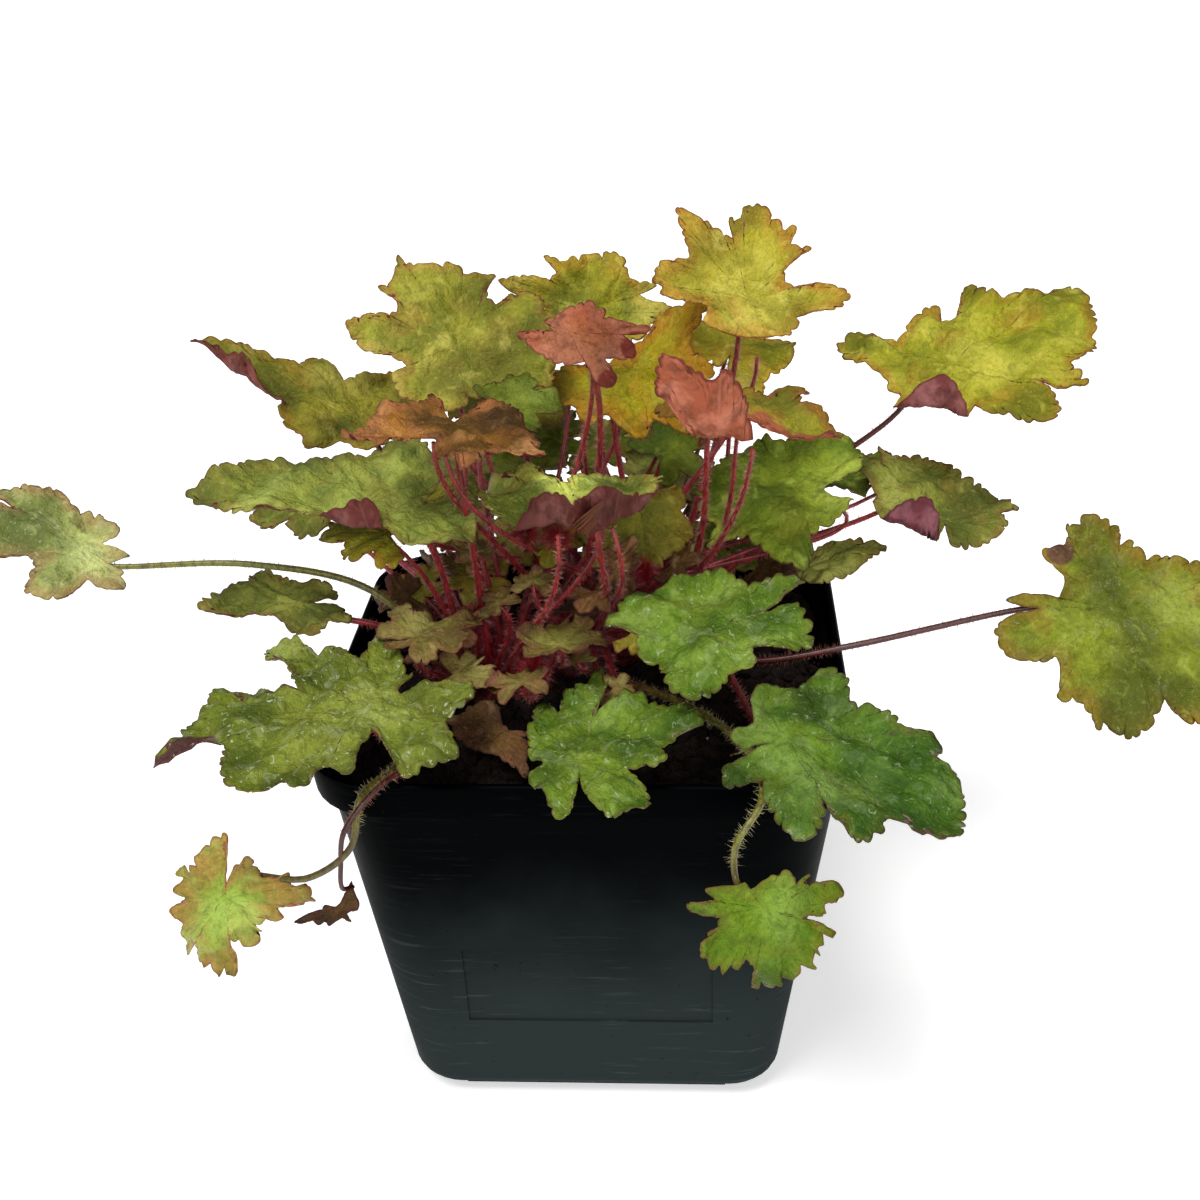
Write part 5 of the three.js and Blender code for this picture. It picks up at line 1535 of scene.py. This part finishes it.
def pot_finish():
    """Black moulded plastic, satin near the rim, with faint scuffs.

    Near-black up top, which is painted shade under the leaves, and grey lower down, which is partly dust
    and partly a painted reflection of the pale floor.
    """
    material, tree, shader = finish_of("pot plastic")
    spot = place_of(tree)
    height = node(tree, "SeparateXYZ", {"Vector": spot}).outputs["Z"]
    cloud = noise(tree, spot, 0.035, 4, 0.6)
    scuff = noise(tree, place_of(tree, Scale=(60, 60, 900)), 1.0, 4, 0.65)
    grain = noise(tree, spot, 2.2, 3, 0.6)
    # Near-black up top is painted shade under the leaves; grey lower down is dust and a painted reflection.
    dust_and_light_line = total(tree, height, product(tree, cloud, 26.0))
    dust_and_painted_light = eased(tree, dust_and_light_line, 34.0, 92.0, 1.0, 0.0)
    colour = mixed(tree, dust_and_painted_light, paint(0, 1, 2), paint(44, 52, 52))
    marks = product(tree, eased(tree, scuff, 0.56, 0.7), eased(tree, cloud, 0.42, 0.62))
    marks = product(tree, marks, total(tree, product(tree, dust_and_painted_light, 0.35), 0.06))
    colour = mixed(tree, marks, colour, paint(84, 92, 94))
    specks = eased(tree, noise(tree, spot, 0.5, 2), 0.71, 0.76)
    colour = mixed(tree, product(tree, specks, 0.7), colour, paint(12, 13, 13))
    roughness = total(tree, eased(tree, cloud, 0.3, 0.7, 0.36, 0.5), product(tree, dust_and_painted_light, 0.12))
    feed(tree, shader, Base_Color=colour, Roughness=roughness, Specular_IOR_Level=0.012)
    relief = total(tree, product(tree, grain, 0.5), product(tree, scuff, 0.5))
    feed(tree, shader, Normal=bumped(tree, relief, 0.06, 0.7))
    return material


def ring_place(spoke, half, corner):
    """Where a spoke meets a square ring with round corners."""
    per_side = RING_SIDE + RING_CORNER
    side, step = divmod(spoke, per_side)
    core = half - corner
    if step < RING_CORNER:
        turn = math.pi / 2 * step / RING_CORNER
        x, y = core + corner * math.cos(turn), core + corner * math.sin(turn)
    else:
        x, y = core - 2 * core * (step - RING_CORNER) / RING_SIDE, half
    for _ in range(side):
        x, y = -y, x
    return x, y


def pot_shell():
    """The moulded wall, ring by ring: half width, corner radius and height of each.

    The rings run up the outside, over the rim and down the inside to the floor.
    """
    band = POT_HEIGHT - RIM_BAND
    rounded_foot = [(39, 8, 2), (41.2, 9.6, 2.3), (42.8, 10.6, 3.3), (43.8, 11.4, 4.5)]
    wall = [(wall_half(z), wall_corner(z), z) for z in (WALL_FROM, 20, 50)]
    wall.append((wall_half(band - 1), wall_corner(band - 1), band - 1.2))
    wall.append((wall_half(band) + 0.15, wall_corner(band), band))
    rim = [(58.4, 17.5, band + 0.15), (59.0, 18, band + 0.7), (59.9, 18.5, 96.9), (59.75, 18.4, 97.6)]
    top = [(59.3, 18, 98), (58.5, 17.3, 98), (58.2, 17.1, 97.6), (57.9, 17, 90.6)]
    inside = [(wall_half(z) - WALL, wall_corner(z) - WALL, z) for z in (band, 50)]
    floor = [(wall_half(7) - WALL, 10.8, 7), (wall_half(5) - 4.3, 8.5, 3.6)]
    bm = bmesh.new()
    spokes = 4 * (RING_SIDE + RING_CORNER)
    bmesh.ops.create_circle(bm, cap_ends=False, segments=spokes, radius=1)
    spoke_of = bm.verts.layers.int.new("spoke")
    ring = sorted(bm.verts, key=lambda v: math.atan2(v.co.y, v.co.x) % (2 * math.pi))
    for k, vert in enumerate(ring):
        vert[spoke_of] = k
    edges = bm.edges[:]
    first = edges
    for number, (half, corner, z) in enumerate(rounded_foot + wall + rim + top + inside + floor):
        if number:
            grown = bmesh.ops.extrude_edge_only(bm, edges=edges)["geom"]
            edges = [g for g in grown if isinstance(g, bmesh.types.BMEdge)]
            ring = [g for g in grown if isinstance(g, bmesh.types.BMVert)]
        for vert in ring:
            vert.co = (*ring_place(vert[spoke_of], half, corner), z)
    bmesh.ops.contextual_create(bm, geom=first)
    bmesh.ops.contextual_create(bm, geom=edges)
    bmesh.ops.recalc_face_normals(bm, faces=bm.faces[:])
    return bm


def pot_foot():
    """The raised cross under the floor."""
    bm = bmesh.new()
    for long, short in ((FOOT_LONG, FOOT_SHORT), (FOOT_SHORT, FOOT_LONG)):
        bar = bmesh.ops.create_cube(bm, size=1)["verts"]
        bmesh.ops.scale(bm, vec=(2 * long, 2 * short, FOOT_HEIGHT + 0.8), verts=bar)
        bmesh.ops.translate(bm, vec=(0, 0, (FOOT_HEIGHT + 0.8) / 2), verts=bar)
    return bm


def pot_cuts():
    """What is taken away: a drain in each corner of the floor and the plain field in the front wall."""
    bm = bmesh.new()
    for x in (-DRAIN_INSET, DRAIN_INSET):
        for y in (-DRAIN_INSET, DRAIN_INSET):
            round_hole = {"segments": 32, "radius1": DRAIN_RADIUS, "radius2": DRAIN_RADIUS, "depth": 12}
            hole = bmesh.ops.create_cone(bm, cap_ends=True, **round_hole)
            bmesh.ops.translate(bm, vec=(x, y, 0), verts=hole["verts"])
    slope = math.atan2(wall_half(PANEL_MIDDLE + 1) - wall_half(PANEL_MIDDLE), 1)
    field = bmesh.ops.create_cube(bm, size=1)["verts"]
    bmesh.ops.scale(bm, vec=(PANEL_WIDTH, 2, PANEL_HEIGHT), verts=field)
    bmesh.ops.rotate(bm, cent=(0, 0, 0), matrix=Matrix.Rotation(slope, 3, "X"), verts=field)
    front = -wall_half(PANEL_MIDDLE) - 1 + PANEL_DEPTH
    bmesh.ops.translate(bm, vec=(0, front, PANEL_MIDDLE), verts=field)
    return bm


def joined(obj, other, operation):
    """Applies a Boolean with another shape, which is then removed."""
    tool = bpy.data.objects.new("tool", to_mesh(other, "tool", smooth=False))
    bpy.context.scene.collection.objects.link(tool)
    cut = obj.modifiers.new("cut", "BOOLEAN")
    cut.operation = operation
    cut.solver = "EXACT"
    cut.use_self = True
    cut.object = tool
    bpy.context.view_layer.update()
    mesh = bpy.data.meshes.new_from_object(obj.evaluated_get(bpy.context.evaluated_depsgraph_get()))
    obj.modifiers.clear()
    obj.data = mesh
    bpy.data.objects.remove(tool)


def add_pot():
    """The pot: its shell and foot as one body, less the drains and the panel's field."""
    shape = bpy.data.objects.new("shape", to_mesh(pot_shell(), "pot", smooth=False))
    bpy.context.scene.collection.objects.link(shape)
    joined(shape, pot_foot(), "UNION")
    joined(shape, pot_cuts(), "DIFFERENCE")
    mesh = shape.data
    bpy.data.objects.remove(shape)
    mesh.materials.clear()
    mesh.polygons.foreach_set("use_smooth", [True] * len(mesh.polygons))
    mesh.set_sharp_from_angle(angle=math.radians(32))
    piece("nursery_pot", mesh, [pot_finish()], "pot_plastic", "pot")


# ---------------------------------------------------------------- stage

CAMERA_PLACE = (26.75, -354.0, 284.9)
CAMERA_DOWN, CAMERA_LEFT, CAMERA_ROLL = 25.95, 3.94, -1.98  # degrees
LENS, SENSOR = 50.08, 36
FLOOR_HALF, FLOOR_DROP = 8, 0.0003  # in metres


def add_camera():
    """The camera in front of the plant, looking down on it."""
    down, left, roll = (math.radians(v) for v in (CAMERA_DOWN, CAMERA_LEFT, CAMERA_ROLL))
    ahead = Vector((-math.sin(left) * math.cos(down), math.cos(left) * math.cos(down), -math.sin(down)))
    level = Vector((math.cos(left), math.sin(left), 0))
    above = level.cross(ahead)
    right = level * math.cos(roll) + above * math.sin(roll)
    up = above * math.cos(roll) - level * math.sin(roll)
    data = bpy.data.cameras.new("camera")
    data.lens = LENS
    data.sensor_width = SENSOR
    camera = bpy.data.objects.new("camera", data)
    turned = Matrix((right, up, -ahead)).transposed().to_4x4()
    camera.matrix_world = Matrix.Translation(Vector(CAMERA_PLACE) * MM) @ turned
    bpy.context.scene.collection.objects.link(camera)
    bpy.context.scene.camera = camera


def add_light(name, place, spread, energy):
    """An even light from one side; spread is how soft its shadows are, in degrees."""
    data = bpy.data.lights.new(name, "SUN")
    data.angle = math.radians(spread)
    data.energy = energy
    light = bpy.data.objects.new(name, data)
    light.rotation_euler = (-Vector(place)).to_track_quat("-Z", "Y").to_euler()
    bpy.context.scene.collection.objects.link(light)


def add_stage():
    """A pale floor and soft studio light."""
    bm = bmesh.new()
    bmesh.ops.create_grid(bm, x_segments=1, y_segments=1, size=FLOOR_HALF)
    bmesh.ops.translate(bm, vec=(0, 0, -FLOOR_DROP), verts=bm.verts[:])
    floor = bpy.data.objects.new("floor", to_mesh(bm, "floor"))
    material, tree, shader = finish_of("floor paper")
    feed(tree, shader, Base_Color=(0.93, 0.93, 0.93, 1), Roughness=0.9, Specular_IOR_Level=0.1)
    feed(tree, shader, Emission_Color=(1, 1, 1, 1), Emission_Strength=0.45)
    floor.data.materials.append(material)
    bpy.context.scene.collection.objects.link(floor)
    add_light("key", (-0.35, -0.5, 1.3), 30, 2.4)
    add_light("fill", (0.2, -1.0, 0.5), 40, 1.3)
    world = bpy.data.worlds.new("studio")
    world.use_nodes = True
    sky = world.node_tree.nodes["Background"].inputs
    sky["Color"].default_value = (1, 1, 1, 1)
    sky["Strength"].default_value = 0.22
    bpy.context.scene.world = world
    bpy.context.scene.view_settings.view_transform = "Standard"


add_camera()
add_stage()
add_pot()
add_soil()
add_crown()
add_stalks()
add_leaves(leaf_finishes())
